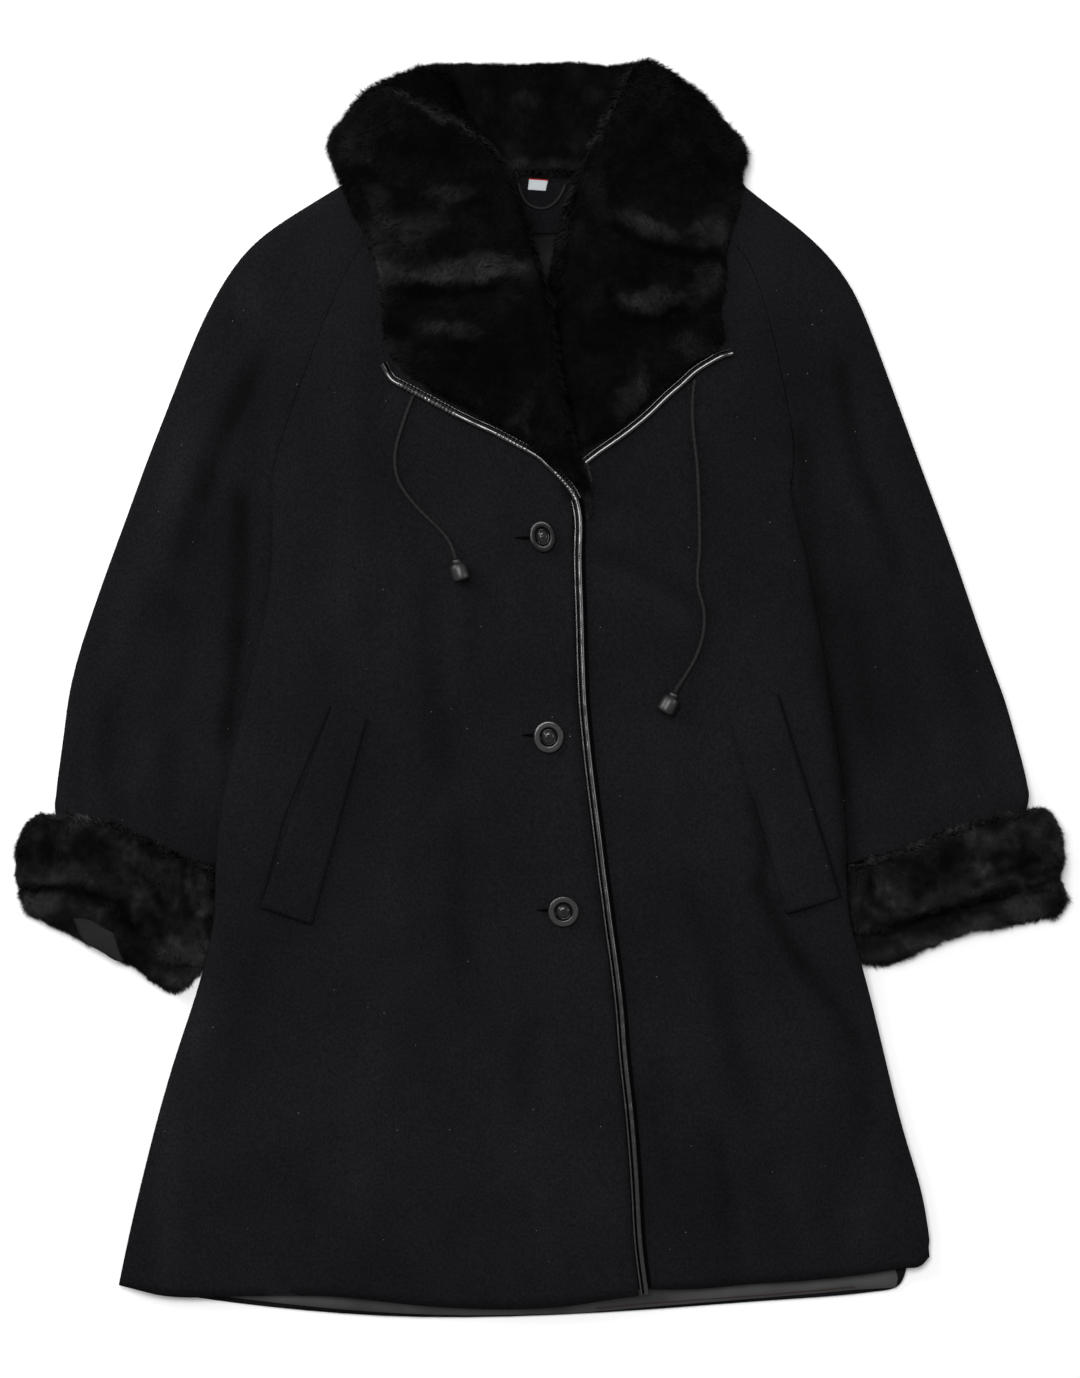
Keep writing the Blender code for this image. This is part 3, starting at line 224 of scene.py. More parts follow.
def satin_material(name):
    """Dark satin lining with a fine weave and a soft gloss, with painted light that makes it lighter towards
    the hem.
    """
    material = plain_material(name, (0.007, 0.007, 0.0072), 0.5, 0.04)
    place = place_of(material)
    threads = noise(material, place_of(material, (1.0, 0.12, 1.0)), 900.0, 2.0)
    colour = ramp(material, noise(material, place, 16.0), 0.3, (0.0082, 0.0080, 0.0082),
                  0.7, (0.0140, 0.0137, 0.0138))
    axes = add_node(material, "ShaderNodeSeparateXYZ", {"Vector": place})
    # Painted light that grows towards the hem.
    span = {"From Min": -0.30, "From Max": -0.46, "To Min": 1.0, "To Max": 5.5, "Value": axes.outputs["Y"]}
    hem_light = add_node(material, "ShaderNodeMapRange", span)
    scaled = add_node(material, "ShaderNodeVectorMath", {}, operation="SCALE")
    feed(material, scaled.inputs[0], colour)
    feed(material, scaled.inputs["Scale"], hem_light.outputs["Result"])
    set_shader(material, Base_Color=scaled.outputs["Vector"])
    bump(material, [(noise(material, place, 60.0), 0.0008), (threads, 0.00015)], 0.7)
    return material


def leather_material(name):
    """Black glossy leather with fine creases."""
    material = plain_material(name, (0.005, 0.005, 0.005), 0.30, 0.8)
    place = place_of(material)
    grain = add_node(material, "ShaderNodeTexVoronoi", {"Scale": 900.0, "Vector": place},
                     feature="DISTANCE_TO_EDGE")
    worn = noise(material, place, 240.0, 4.0)
    colour = ramp(material, worn, 0.35, (0.006, 0.006, 0.006), 0.75, (0.014, 0.014, 0.0135))
    rough = add_node(material, "ShaderNodeMapRange", {"To Min": 0.14, "To Max": 0.26, "Value": worn})
    # The tone scales colour and gloss, with the binding's painted shade and highlights.
    set_shader(material, Base_Color=multiplied(material, tone_of(material), colour),
               Specular_IOR_Level=calculated(material, tone_of(material, "Fac"), "MULTIPLY", 0.85),
               Roughness=rough.outputs["Result"])
    bump(material, [(noise(material, place, 90.0, 2.0), 0.0002), (grain.outputs["Distance"], 0.00003)], 0.25)
    return material


def fur_material(name):
    """Fur hairs, coloured along their length."""
    material = plain_material(name, (0.004, 0.0038, 0.0036), 0.7, 0.02)
    set_shader(material, Base_Color=tone_of(material))
    return material


def skin_material(name, light):
    """The backing that the hairs stand on."""
    material = plain_material(name, (0.0024, 0.0022, 0.0021), 0.9, 0.02)
    tufts = noise(material, place_of(material), 260.0)
    dark, pale = (tuple(light * c for c in colour) for colour in ((0.0020,) * 3, (0.0046, 0.0045, 0.0045)))
    set_shader(material, Base_Color=ramp(material, tufts, 0.3, dark, 0.7, pale))
    bump(material, [(tufts, 0.0015)], 0.8)
    return material


def horn_material(name, polish=0.10, gloss=None):
    """Polished dark grey horn with faint streaks; where a gloss is given, it grows with the tone."""
    material = plain_material(name, (0.010, 0.010, 0.0098), polish, 0.43)
    streaks = noise(material, place_of(material, (1.0, 3.0, 1.0)), 130.0, 4.0)
    colour = ramp(material, streaks, 0.3, (0.82, 0.82, 0.82), 0.75, (1.15, 1.15, 1.13))
    set_shader(material, Base_Color=multiplied(material, tone_of(material), colour))
    if gloss:
        shine = calculated(material, tone_of(material, "Fac"), "MULTIPLY", gloss)
        set_shader(material, Specular_IOR_Level=shine)
    bump(material, [(noise(material, place_of(material), 500.0, 2.0), 0.00001)], 0.3)
    return material


def thread_material(name, colour=(0.0075, 0.0075, 0.0080), scale=1500.0, gloss=0.15):
    """Twisted sewing thread or cord."""
    material = plain_material(name, colour, 0.75, gloss)
    strands = noise(material, place_of(material), scale, 2.0)
    dark, pale = (tuple(share * c for c in colour) for share in (0.6, 1.7))
    set_shader(material, Base_Color=ramp(material, strands, 0.3, dark, 0.7, pale))
    bump(material, [(strands, 0.0002)], 0.7)
    return material


# Meshes


class Lattice:
    """A smooth random field: the same for the same seed."""

    CELLS = 24       # along each side, after which it repeats

    def __init__(self, seed, size):
        self.values = np.random.default_rng(seed).uniform(-1, 1, (self.CELLS,) * 3)
        self.size = size

    def __call__(self, points):
        p = np.asarray(points, float) / self.size
        low = np.floor(p).astype(int)
        t = p - low
        t = t * t * (3 - 2 * t)
        total = 0.0
        for corner in itertools.product((0, 1), repeat=3):
            weight = np.where(corner, t, 1 - t).prod(1)
            total = total + weight * self.values[tuple((low + corner).T % self.CELLS)]
        return total

    def at(self, x, y):
        return float(self([[x, y, 0.0]])[0])


def add_mesh(name, points, faces, material):
    """Makes an object of a mesh given in millimetres."""
    mesh = bpy.data.meshes.new(name)
    mesh.from_pydata([Vector(p) * MM for p in points], [], faces)
    mesh.update()
    mesh.shade_smooth()
    mesh.materials.append(material)
    item = add_object(name, mesh)
    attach(item, "root")
    return item


def take_place(node):
    """Hides the solid whose place a piece takes."""
    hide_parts(node)


def ring_faces(rings, sides, ends_flipped=False):
    """Faces that join closed rings of points and close both ends, whose order of points can be flipped."""
    faces = []
    for i in range(rings - 1):
        for k in range(sides):
            n = (k + 1) % sides
            faces.append((i * sides + k, i * sides + n, (i + 1) * sides + n, (i + 1) * sides + k))
    first, last = tuple(range(sides)), tuple(range((rings - 1) * sides, rings * sides))
    return faces + ([first[::-1], last] if ends_flipped else [first, last[::-1]])


def ringed(name, points, sides, material, sharp, ends_flipped=False):
    """Makes a closed piece of rings of points, smooth but for edges sharper than an angle."""
    item = add_mesh(name, points, ring_faces(len(points) // sides, sides, ends_flipped), material)
    shape = bmesh.new()
    shape.from_mesh(item.data)
    bmesh.ops.recalc_face_normals(shape, faces=shape.faces[:])
    shape.to_mesh(item.data)
    shape.free()
    item.data.shade_smooth()
    item.data.set_sharp_from_angle(angle=math.radians(sharp))
    return item


def store_tones(mesh, tones):
    """Stores how light each point is, from one value or one colour for each."""
    colours = np.ones((len(mesh.vertices), 4))
    colours[:, :3] = np.asarray(tones).reshape(len(colours), -1)
    mesh.color_attributes.new("tone", "FLOAT_COLOR", "POINT").data.foreach_set("color", colours.ravel())


def tree_of(points, mesh):
    return BVHTree.FromPolygons(points, [tuple(f.vertices) for f in mesh.polygons])


FINER_LEVELS = 2
FLAT_ENOUGH = math.radians(60)      # up to this angle triangles are joined into quads
WELD = 2e-5
FINER_SHARP = math.radians(50)


def finer(node, name, crease_angle):
    """Returns a finer, smooth copy of a solid; edges sharper than the angle stay sharp."""
    shape = bmesh.new()
    shape.from_mesh(nodes[node].data)
    bmesh.ops.remove_doubles(shape, verts=shape.verts[:], dist=WELD)
    bmesh.ops.join_triangles(shape, faces=shape.faces[:], angle_face_threshold=FLAT_ENOUGH,
                             angle_shape_threshold=FLAT_ENOUGH)
    crease = shape.edges.layers.float.get("crease_edge") or shape.edges.layers.float.new("crease_edge")
    for edge in shape.edges:
        if len(edge.link_faces) == 2 and edge.calc_face_angle(0.0) > math.radians(crease_angle):
            edge[crease] = 1.0
    mesh = bpy.data.meshes.new(name)
    shape.to_mesh(mesh)
    shape.free()
    item = add_object(name, mesh)
    subdivision = item.modifiers.new("finer", "SUBSURF")
    subdivision.levels = subdivision.render_levels = FINER_LEVELS
    bpy.context.view_layer.update()
    result = bpy.data.meshes.new_from_object(item.evaluated_get(bpy.context.evaluated_depsgraph_get()))
    result.name = name
    item.modifiers.clear()
    item.data = result
    bpy.data.meshes.remove(mesh)
    result.shade_smooth()
    result.set_sharp_from_angle(angle=FINER_SHARP)
    result.materials.clear()
    return item


def read_vectors(mesh, what="co"):
    """Reads each point's place, or its normal."""
    vectors = np.empty(len(mesh.vertices) * 3)
    mesh.vertices.foreach_get(what, vectors)
    return vectors.reshape(-1, 3)


def write_points(mesh, points):
    mesh.vertices.foreach_set("co", np.ascontiguousarray(points, float).ravel())
    mesh.update()


# Cloth

# Creases finer than the solids' folds, as bent lines. Height is below zero for a trough.
Crease = namedtuple("Crease", "x0 y0 x1 y1 x2 y2 width height")
CREASES = [Crease(*row) for row in [
    # the upper front
    (-93, 81, -89, 12, -79, -71, 12, -1.3), (-62, 89, -58, 57, -58, 19, 8, -1.0),
    (-66, -111, -67, -164, -64, -224, 10, -1.4), (-9, -273, -12, -306, -15, -340, 9, -1.2),
    (-118, 75, -124, 30, -116, -28, 9, 0.5), (-70, 90, -64, 44, -72, 0, 8, 0.7),
    (-36, -112, -40, -170, -32, -230, 9, 0.5), (14, -272, 8, -312, 12, -350, 9, 0.5),
    (-134, -300, -150, -370, -138, -440, 12, 0.9), (-226, -210, -244, -290, -262, -360, 11, -0.8),
    (-30, 95, -22, 60, -28, 20, 7, 0.6), (10, -390, 2, -430, 12, -478, 9, 0.8),
    (-200, -395, -190, -440, -204, -486, 10, -0.9), (-60, -420, -70, -455, -62, -490, 8, -0.7),
    (-150, 150, -160, 80, -150, 20, 12, 0.8), (-110, -80, -122, -140, -114, -200, 11, 0.7),
    # the under front
    (172, -90, 182, -127, 179, -160, 6, -2.2), (179, -160, 195, -194, 212, -224, 7, -2.6),
    (212, -224, 240, -261, 258, -288, 8, -2.2), (258, -288, 267, -323, 270, -359, 9, -1.0),
    (119, -157, 143, -237, 176, -352, 10, -1.1), (142, -364, 149, -394, 152, -456, 8, -1.2),
    (47, 113, 85, 96, 114, 78, 9, -1.4), (114, 78, 128, 70, 140, 57, 9, -0.9),
    (230, 24, 243, -41, 248, -82, 8, -2.0), (248, -82, 251, -123, 249, -155, 8, -1.6),
    (182, -96, 193, -130, 190, -158, 8, 0.8), (240, -285, 256, -325, 262, -372, 9, -0.8),
    (158, -372, 166, -420, 170, -468, 9, 0.8), (60, 90, 90, 76, 118, 52, 10, 0.8),
    (92, -20, 104, -70, 98, -126, 10, 0.7), (206, -400, 214, -440, 226, -470, 9, 0.8),
    (100, -300, 96, -350, 104, -410, 9, -0.7),
    # the sleeves
    (-239, 252, -260, 204, -275, 163, 11, -2.2), (-275, 163, -286, 130, -292, 103, 10, -1.6),
    (-245, 157, -244, 106, -247, 50, 9, -2.3), (-247, 50, -251, 8, -259, -47, 8, -2.9),
    (-228, 268, -244, 240, -256, 214, 9, -1.3), (-302, 75, -292, 35, -300, -6, 11, -1.0),
    (-351, -19, -356, -60, -340, -101, 10, -1.0), (-308, -19, -302, -60, -305, -101, 10, -0.9),
    (245, 270, 257, 196, 272, 152, 8, -2.1), (272, 152, 285, 122, 294, 88, 8, -1.6),
    (-256, 20, -262, -20, -266, -56, 8, 0.8), (-330, 60, -344, 0, -352, -60, 10, -0.8),
    (-300, -20, -322, -60, -330, -92, 7, 0.8), (-372, -30, -380, -60, -374, -92, 7, -0.8),
    (-290, 200, -308, 140, -316, 90, 11, 0.8), (290, 120, 306, 60, 316, -10, 10, 0.8),
    (262, 60, 268, 0, 280, -60, 9, -0.8), (340, 30, 352, -20, 360, -70, 9, -0.8),
    (213, 208, 223, 120, 236, 36, 9, -1.7), (322, -30, 330, -60, 332, -88, 7, 0.8),
    (380, -40, 390, -66, 388, -92, 7, 0.7),
]]


def line_height(points, creases):
    """Height of bent creases, in millimetres, at points in millimetres."""
    total = np.zeros(len(points))
    for crease in creases:
        t = np.linspace(0, 1, 25)[:, None]
        a, b, c = np.array(crease[:6], float).reshape(3, 2)
        middle = 2 * b - (a + c) / 2
        line = (1 - t)**2 * a + 2 * t * (1 - t) * middle + t * t * c
        reach = 3 * crease.width
        low, high = line.min(0) - reach, line.max(0) + reach
        near = np.all((points[:, :2] > low) & (points[:, :2] < high), axis=1)
        if not near.any():
            continue
        distance = np.linalg.norm(points[near][:, None, :2] - line[None], axis=2)
        at = distance.argmin(1)
        taper = np.minimum(2.5 * np.sin(math.pi * (0.08 + 0.84 * at / 24)), 1.0)
        total[near] += crease.height * taper * np.exp(-(distance.min(1) / crease.width)**2)
    return total


CREASE_SHADE = 0.19      # how much painted shade darkens the wool in a crease, for each millimetre of its depth
BROAD, MIDDLE, FINE = Lattice(3, 110.0), Lattice(7, 46.0), Lattice(11, 17.0)

# Places where a piece's outline goes a little beyond its solid's, or stays behind it.
Nudge = namedtuple("Nudge", "node x y reach dx dy")
NUDGES = [Nudge(*row) for row in [
    ("front_left", 308, -469, 9, 1.2, -3.0), ("front_left", 320, -461, 6, -2.4, 0.6),
    ("back", 289, -483, 13, 4.5, -3.0), ("back_lining", 284, -479, 20, 14.0, -2.0),
    ("sleeve_right", -264, -136, 14, 6.0, 0.0), ("cuff_right", -258, -148, 10, 2.0, 5.0),
    ("cuff_right", -296, -240, 22, -1.0, -9.0), ("cuff_left", 280, -222, 24, -2.0, -9.5),
    ("cuff_left", 416, -174, 16, 10.0, -3.0), ("cuff_left", 350, -196, 10, 0.0, 3.0),
    ("cuff_left", 424, -154, 6, -4.0, 0.0), ("cuff_right", -424, -162, 6, 3.0, 0.0),
    ("cuff_right", -392, -208, 10, -1.0, 3.0), ("cuff_right", -262, -206, 12, 2.0, -3.0),
    ("collar_right", -151, 457, 7, 4.0, -1.5), ("collar_right", -168, 442, 12, -2.5, 0.0),
    ("collar_left", 143, 456, 7, -4.0, -1.5), ("collar_left", 164, 440, 12, 2.5, 0.0),
    ("collar_left", 92, 508, 16, 0.0, 4.0), ("cuff_right", -266, -146, 7, 2.5, 2.5),
    ("sleeve_lining_right", -353, -183, 13, 4.0, -11.0), ("sleeve_lining_right", -366, -208, 14, 0.0, -5.0),
    ("sleeve_lining_right", -382, -183, 9, 0.0, -4.0), ("sleeve_lining_right", -345, -212, 12, 0.0, -8.0),
]]


def nudged(node, points):
    """Moves points, in millimetres, as the table says for a node."""
    moved = points.copy()
    for nudge in NUDGES:
        if nudge.node == node:
            near = np.exp(-((points[:, 0] - nudge.x)**2 + (points[:, 1] - nudge.y)**2) / nudge.reach**2)
            moved[:, 0] += nudge.dx * near
            moved[:, 1] += nudge.dy * near
    return moved


# Soft ovals of painted light on the wool or the fur, and below zero of painted shade.
Patch = namedtuple("Patch", "x y half_x half_y turn light")
WOOL_LIGHT_AND_SHADE = [Patch(*row) for row in [
    (-237, 190, 13, 80, -6, -0.24), (-237, 318, 14, 22, 0, 0.4), (-139, 250, 14, 78, 0, -0.24),
    (-268, 158, 12, 40, -12, -0.08), (-302, 150, 12, 55, -14, 0.25), (-338, 65, 12, 60, -12, 0.35),
    (-304, -410, 13, 85, 0, 0.35), (-277, -262, 11, 52, -8, 0.3), (-110, -335, 190, 180, 0, 0.16),
    (250, 35, 15, 120, 6, -0.22), (302, 0, 42, 110, 0, -0.20), (205, 255, 45, 85, 0, -0.22),
    (268, -400, 16, 70, -10, 0.22), (150, -250, 12, 90, 4, -0.12), (205, -320, 26, 90, 0, 0.10),
]]


def ovals(points, table, sharp=1.4):
    """Sum of a table's soft ovals at points in millimetres."""
    total = np.zeros(len(points))
    for patch in table:
        turn = math.radians(patch.turn)
        dx, dy = points[:, 0] - patch.x, points[:, 1] - patch.y
        along = (dx * math.cos(turn) + dy * math.sin(turn)) / patch.half_x
        across = (-dx * math.sin(turn) + dy * math.cos(turn)) / patch.half_y
        total += patch.light * np.exp(-(along**2 + across**2)**sharp)
    return total


def cloth_relief(points):
    """Height of all that the cloth adds over its solid, at points in millimetres."""
    flat = points.copy()
    flat[:, 2] = 0
    return line_height(flat, CREASES) + 0.55 * BROAD(flat) + 0.30 * MIDDLE(flat) + 0.07 * FINE(flat)


CLOTH_SHARP, FUR_SHARP = 62, 179      # degrees; sharper edges stay sharp
LOWEST = 0.05                         # of the cloth, over the floor


def cloth(node, material, relief=True):
    """A fine cloth piece in place of a solid, with its creases on its upper side."""
    item = finer(node, "cloth_" + node, CLOTH_SHARP)
    mesh = item.data
    points, normals = nudged(node, read_vectors(mesh) / MM), read_vectors(mesh, "normal")
    write_points(mesh, points * MM)
    tones = np.ones(len(points))
    if relief:
        # Painted shade in the creases, and painted light and shade from the wool's soft ovals.
        tones = 1 + CREASE_SHADE * line_height(points, CREASES) + ovals(points, WOOL_LIGHT_AND_SHADE)
        tones = np.clip(tones, 0.40, 1.6)
        resting = (normals[:, 2] < -0.5) & (points[:, 2] < 1.0)
        points[:, 2] += cloth_relief(points) * np.clip(normals[:, 2] * 1.6, 0, 1)
        points[resting, 2] += np.clip(0.5 * cloth_relief(-points[resting]), 0, 0.6)
        points[:, 2] = np.maximum(points[:, 2], LOWEST)
        write_points(mesh, points * MM)
    store_tones(mesh, tones)
    mesh.materials.append(material)
    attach(item, "root")
    take_place(node)
    return item


# Fur

LUMPS, TUFTS = Lattice(51, 34.0), Lattice(52, 12.0)
INSET = 3.0                    # how far the backing is drawn in
HELD = 3.0                     # reach in which the backing stays out by a neighbour, so that no gap opens
ROOM, TOUCHING = 6.0, 1.0      # reach at which a neighbour shortens the hairs, and at which none grow
LEAN = (0.75, 1.25)            # least and most slope of the hairs
ROOT_COLOUR = np.array([[0.0016, 0.00155, 0.00155]])
TIP_COLOUR = np.array([[0.0050, 0.0049, 0.0049]])
THINNED = 1
HAIR_WIDTH = 0.62


def fur_skin(node, creases, light, neighbours):
    """The fur's backing: the solid, rounded and drawn in, so that the hairs reach its surface."""
    item = finer(node, "skin_" + node, FUR_SHARP)
    mesh = item.data
    points, normals = nudged(node, read_vectors(mesh) / MM) * MM, read_vectors(mesh, "normal")
    tree = tree_of([Vector(p) for p in points], mesh)
    moved = points.copy()
    where = points / MM
    relief = line_height(where, creases) + 1.3 * LUMPS(where) + 0.5 * TUFTS(where)
    for i, (point, normal) in enumerate(zip(points, normals)):
        p, n = Vector(point), Vector(normal)
        inward = tree.ray_cast(p - n * 0.0002, -n, 0.03)
        thickness = inward[3] if inward[0] is not None else 0.03
        outward = tree.ray_cast(p + n * 0.0004, n, 0.03)
        if outward[0] is None and n.z > -0.6:
            push = -min(INSET * MM, 0.3 * thickness) + relief[i] * MM * max(n.z, 0.25)
            found = [other.find_nearest(p / MM, HELD)[3] for other in neighbours]
            held = max([1 - gap / HELD for gap in found if gap is not None], default=0.0)
            moved[i] += normal * max(push, -0.62 * thickness) * (1 - 0.85 * held)
    moved[:, 2] = np.maximum(moved[:, 2], 0.1 * MM)
    write_points(mesh, moved)
    mesh.materials.append(skin_material("skin_" + node, light))
    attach(item, "root")
    return item


def room_over(skin, others, lowest):
    """How much room each face of a skin has for hairs: 1 in the open, less by a neighbour, 0 against it.

    Faces whose normal rises less than `lowest` grow none where a neighbour touches them.
    """
    mesh = skin.data
    tree = tree_of([v.co for v in mesh.vertices], mesh)
    room = np.zeros(len(mesh.polygons))
    for i, face in enumerate(mesh.polygons):
        start, normal = face.center + face.normal * 0.0006, face.normal
        if start.z + normal.z * 0.004 < 0.0005 or tree.ray_cast(start, normal, 0.012)[0] is not None:
            continue
        gaps = [other.ray_cast(start / MM, normal, ROOM)[3] for other in others]
        nearest = min([gap for gap in gaps if gap is not None], default=ROOM)
        if nearest > TOUCHING or normal.z > lowest:
            room[i] = max(nearest / ROOM, 0.45)
    return room


def grow_fur(skin, name, others, count, length, seed, flow, tones, shaggy=False):
    """Grows hairs as single narrow triangles on the free faces of a skin.

    flow(points) gives each hair's direction along the surface, and tones(points) how light its tip is, with
    its painted light and shade; hairs on steep sides get more painted light.
    A shaggy piece also has hairs on its sides by a neighbour, and tufts along its edges.
    """
    count //= THINNED
    mesh = skin.data
    room = room_over(skin, others, -0.25 if shaggy else 0.1)
    mesh.calc_loop_triangles()
    corner = np.array([t.vertices for t in mesh.loop_triangles])
    owner = np.array([t.polygon_index for t in mesh.loop_triangles])
    points, normals = read_vectors(mesh), read_vectors(mesh, "normal")
    a, b, c = points[corner[:, 0]], points[corner[:, 1]], points[corner[:, 2]]
    area = np.linalg.norm(np.cross(b - a, c - a), axis=1) / 2 * (room[owner] > 0)
    rng = np.random.default_rng(seed)
    chosen = rng.choice(len(area), count, p=area / area.sum())
    u, v = rng.random(count), rng.random(count)
    over = u + v > 1
    u[over], v[over] = 1 - u[over], 1 - v[over]
    w = 1 - u - v
    share = np.stack([u, v, w], 1)
    root = (points[corner[chosen]] * share[:, :, None]).sum(1)
    normal = (normals[corner[chosen]] * share[:, :, None]).sum(1)
    normal /= np.linalg.norm(normal, axis=1)[:, None]
    where = root / MM
    steep = 1 - np.clip(normal[:, 2], 0, 1)
    way = flow(where) + 1.7 * normal[:, :2] * steep[:, None]
    spread = Lattice(seed + 1, 26.0)(where) * 0.9 + Lattice(seed + 2, 9.0)(where) * 0.7
    turn = spread + rng.normal(0, 0.35, count)
    cos, sin = np.cos(turn), np.sin(turn)
    way = np.stack([way[:, 0] * cos - way[:, 1] * sin, way[:, 0] * sin + way[:, 1] * cos,
                    np.zeros(count)], 1)
    way -= normal * (way * normal).sum(1)[:, None]
    way /= np.maximum(np.linalg.norm(way, axis=1), 1e-6)[:, None]
    tilt = LEAN[0] + (LEAN[1] - LEAN[0]) * (0.5 + 0.5 * Lattice(seed + 3, 20.0)(where))
    tilt = tilt + rng.normal(0, 0.12, count)
    clump = np.stack([Lattice(seed + 6 + k, 4.5)(where) for k in range(3)], 1)
    direction = normal + way * tilt[:, None] + rng.normal(0, 0.13, (count, 3)) + 0.30 * clump
    direction /= np.linalg.norm(direction, axis=1)[:, None]
    reach = 0.84 + 0.16 * Lattice(seed + 4, 14.0)(where) + 0.26 * Lattice(seed + 5, 4.0)(where)
    reach *= length * MM
    reach *= rng.uniform(0.7, 1.12, count) * np.where(rng.random(count) < 0.06, 1.3, 1.0)
    reach *= room[owner[chosen]]
    if shaggy:
        reach *= 1 + 0.45 * steep * Lattice(seed + 8, 3.2)(where)
    tip = root + direction * reach[:, None]
    tip[:, 2] = np.maximum(tip[:, 2], 0.0004)
    side = np.cross(direction, rng.normal(0, 1, (count, 3)))
    side /= np.linalg.norm(side, axis=1)[:, None]
    half = (HAIR_WIDTH * MM / 2 * rng.uniform(0.7, 1.3, count))[:, None]
    left, right = root - side * half, root + side * half
    facing = (np.cross(right - left, tip - left) * normal).sum(1) < 0
    left[facing], right[facing] = right[facing].copy(), left[facing].copy()
    vertices = np.stack([left, right, tip], 1).reshape(-1, 3)
    hair = bpy.data.meshes.new(name)
    hair.vertices.add(3 * count)
    hair.vertices.foreach_set("co", vertices.ravel())
    hair.loops.add(3 * count)
    hair.loops.foreach_set("vertex_index", np.arange(3 * count, dtype=np.int32))
    hair.polygons.add(count)
    hair.polygons.foreach_set("loop_start", np.arange(0, 3 * count, 3, dtype=np.int32))
    hair.update(calc_edges=True)
    # Painted light on hairs, and their roots, on steep sides that turn away from the lamps.
    light = (tones(tip / MM) * (1 + 1.3 * steep**1.5))[:, None] * rng.uniform(0.6, 1.5, count)[:, None]
    root_colour = ROOT_COLOUR * (0.3 + 0.7 * light) * (1 + 1.7 * steep[:, None])
    store_tones(hair, np.stack([root_colour, root_colour, TIP_COLOUR * light], 1).reshape(-1, 3))
    bend = normal * 0.75 + direction * 0.35 + rng.normal(0, 0.07, (count, 3))
    bend[:, 2] += 0.55
    bend /= np.linalg.norm(bend, axis=1)[:, None]
    hair.shade_smooth()
    hair.normals_split_custom_set_from_vertices(np.repeat(bend, 3, 0).tolist())
    hair.materials.append(fur_material(name))
    item = add_object(name, hair)
    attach(item, "root")
    return item


WARP_X, WARP_Y = Lattice(95, 16.0), Lattice(96, 16.0)
FUR_SHADE = 0.20         # how much painted shade darkens the fur in a crease, for each millimetre of its depth
MOTTLE = [Lattice(91, 26.0), Lattice(92, 11.0), Lattice(93, 4.5)]


def patches(table, base, mottled, creases):
    """Returns how light the hairs are: the base in general, with painted highlights in the table's soft
    ovals and painted shade in those below zero, a random mottle, and painted shade in the creases.
    """
    def light(points):
        ragged = points + 7.0 * np.stack([f(points) for f in (WARP_X, WARP_Y, WARP_X)], 1)
        ragged += 3.0 * np.stack([f(points * 2.6) for f in (WARP_X, WARP_Y, WARP_X)], 1)
        mottle = 0.75 * MOTTLE[0](ragged) + 0.75 * MOTTLE[1](ragged) + 0.45 * MOTTLE[2](points)
        mottle = np.exp(mottled * mottle)
        folded = np.clip(1 + FUR_SHADE * line_height(points, creases), 0.3, 2.2)
        return np.clip(base * (1 + ovals(ragged, table, 2.2)) * mottle * folded, 0.2, 9.0)
    return light


def steady(dx, dy):
    """Returns a flow that runs one way."""
    return lambda points: np.repeat(np.array([[dx, dy]]) / math.hypot(dx, dy), len(points), 0)


# Small pieces

trees = {name: tree_of([v.co / MM for v in node.data.vertices], node.data) for name, node in nodes.items()}


def top_of(names, x, y):
    """Height of the highest of the named solids at a point, in millimetres, or None."""
    tops = [trees[name].ray_cast(Vector((x, y, 500)), Vector((0, 0, -1)))[0] for name in names]
    tops = [hit.z for hit in tops if hit is not None]
    return max(tops) if tops else None


def lifted(x, y):
    """How far the cloth's own creases raise it at a point."""
    return float(cloth_relief(np.array([[x, y, 0.0]]))[0])


def smooth_route(points, step):
    """Evenly spaced points on a smooth curve through the route's own points."""
    knots = [Vector(point) for point in points]
    ends = [2 * knots[0] - knots[1]] + knots + [2 * knots[-1] - knots[-2]]
    dense = []
    for i in range(1, len(ends) - 2):
        p0, p1, p2, p3 = ends[i - 1:i + 3]
        for k in range(12):
            t = k / 12
            dense.append(0.5 * ((2 * p1) + (p2 - p0) * t + (2 * p0 - 5 * p1 + 4 * p2 - p3) * t * t
                                + (3 * p1 - p0 - 3 * p2 + p3) * t**3))
    dense.append(knots[-1])
    lengths = np.concatenate([[0.0], np.cumsum([(b - a).length for a, b in zip(dense, dense[1:])])])
    count = max(int(round(lengths[-1] / step)), 2)
    route = []
    for wanted in np.linspace(0, lengths[-1], count + 1):
        j = min(max(int(np.searchsorted(lengths, wanted)), 1), len(dense) - 1)
        share = (wanted - lengths[j - 1]) / (lengths[j] - lengths[j - 1])
        route.append(dense[j - 1].lerp(dense[j], share))
    return route


def eased(values, reach):
    """Evens out a list of heights over its neighbours."""
    padded = np.pad(np.array(values, float), reach, mode="edge")
    kernel = np.hanning(2 * reach + 3)[1:-1]
    return np.convolve(padded, kernel / kernel.sum(), mode="valid")


SWEPT_SHARP, DISC_SHARP, BELL_SHARP = 55, 32, 45      # degrees


def swept(name, route, heights, profile_at, material):
    """Sweeps a closed profile along a route; profile_at(i, share) gives its (across, z) points."""
    points = []
    for i, spot in enumerate(route):
        ahead = (route[min(i + 1, len(route) - 1)] - route[max(i - 1, 0)]).normalized()
        for s, z in profile_at(i, i / (len(route) - 1)):
            points.append((spot.x + ahead.y * s, spot.y - ahead.x * s, heights[i] + z))
    return ringed(name, points, len(profile_at(0, 0.0)), material, SWEPT_SHARP)


def turned(name, profile, sides, place, material, sharp):
    """Turns a profile of (along, radius) points about its own axis."""
    angles = [2 * math.pi * k / sides for k in range(sides)]
    points = [place(radius * math.cos(angle), radius * math.sin(angle), along)
              for along, radius in profile for angle in angles]
    return ringed(name, points, sides, material, sharp, ends_flipped=True)


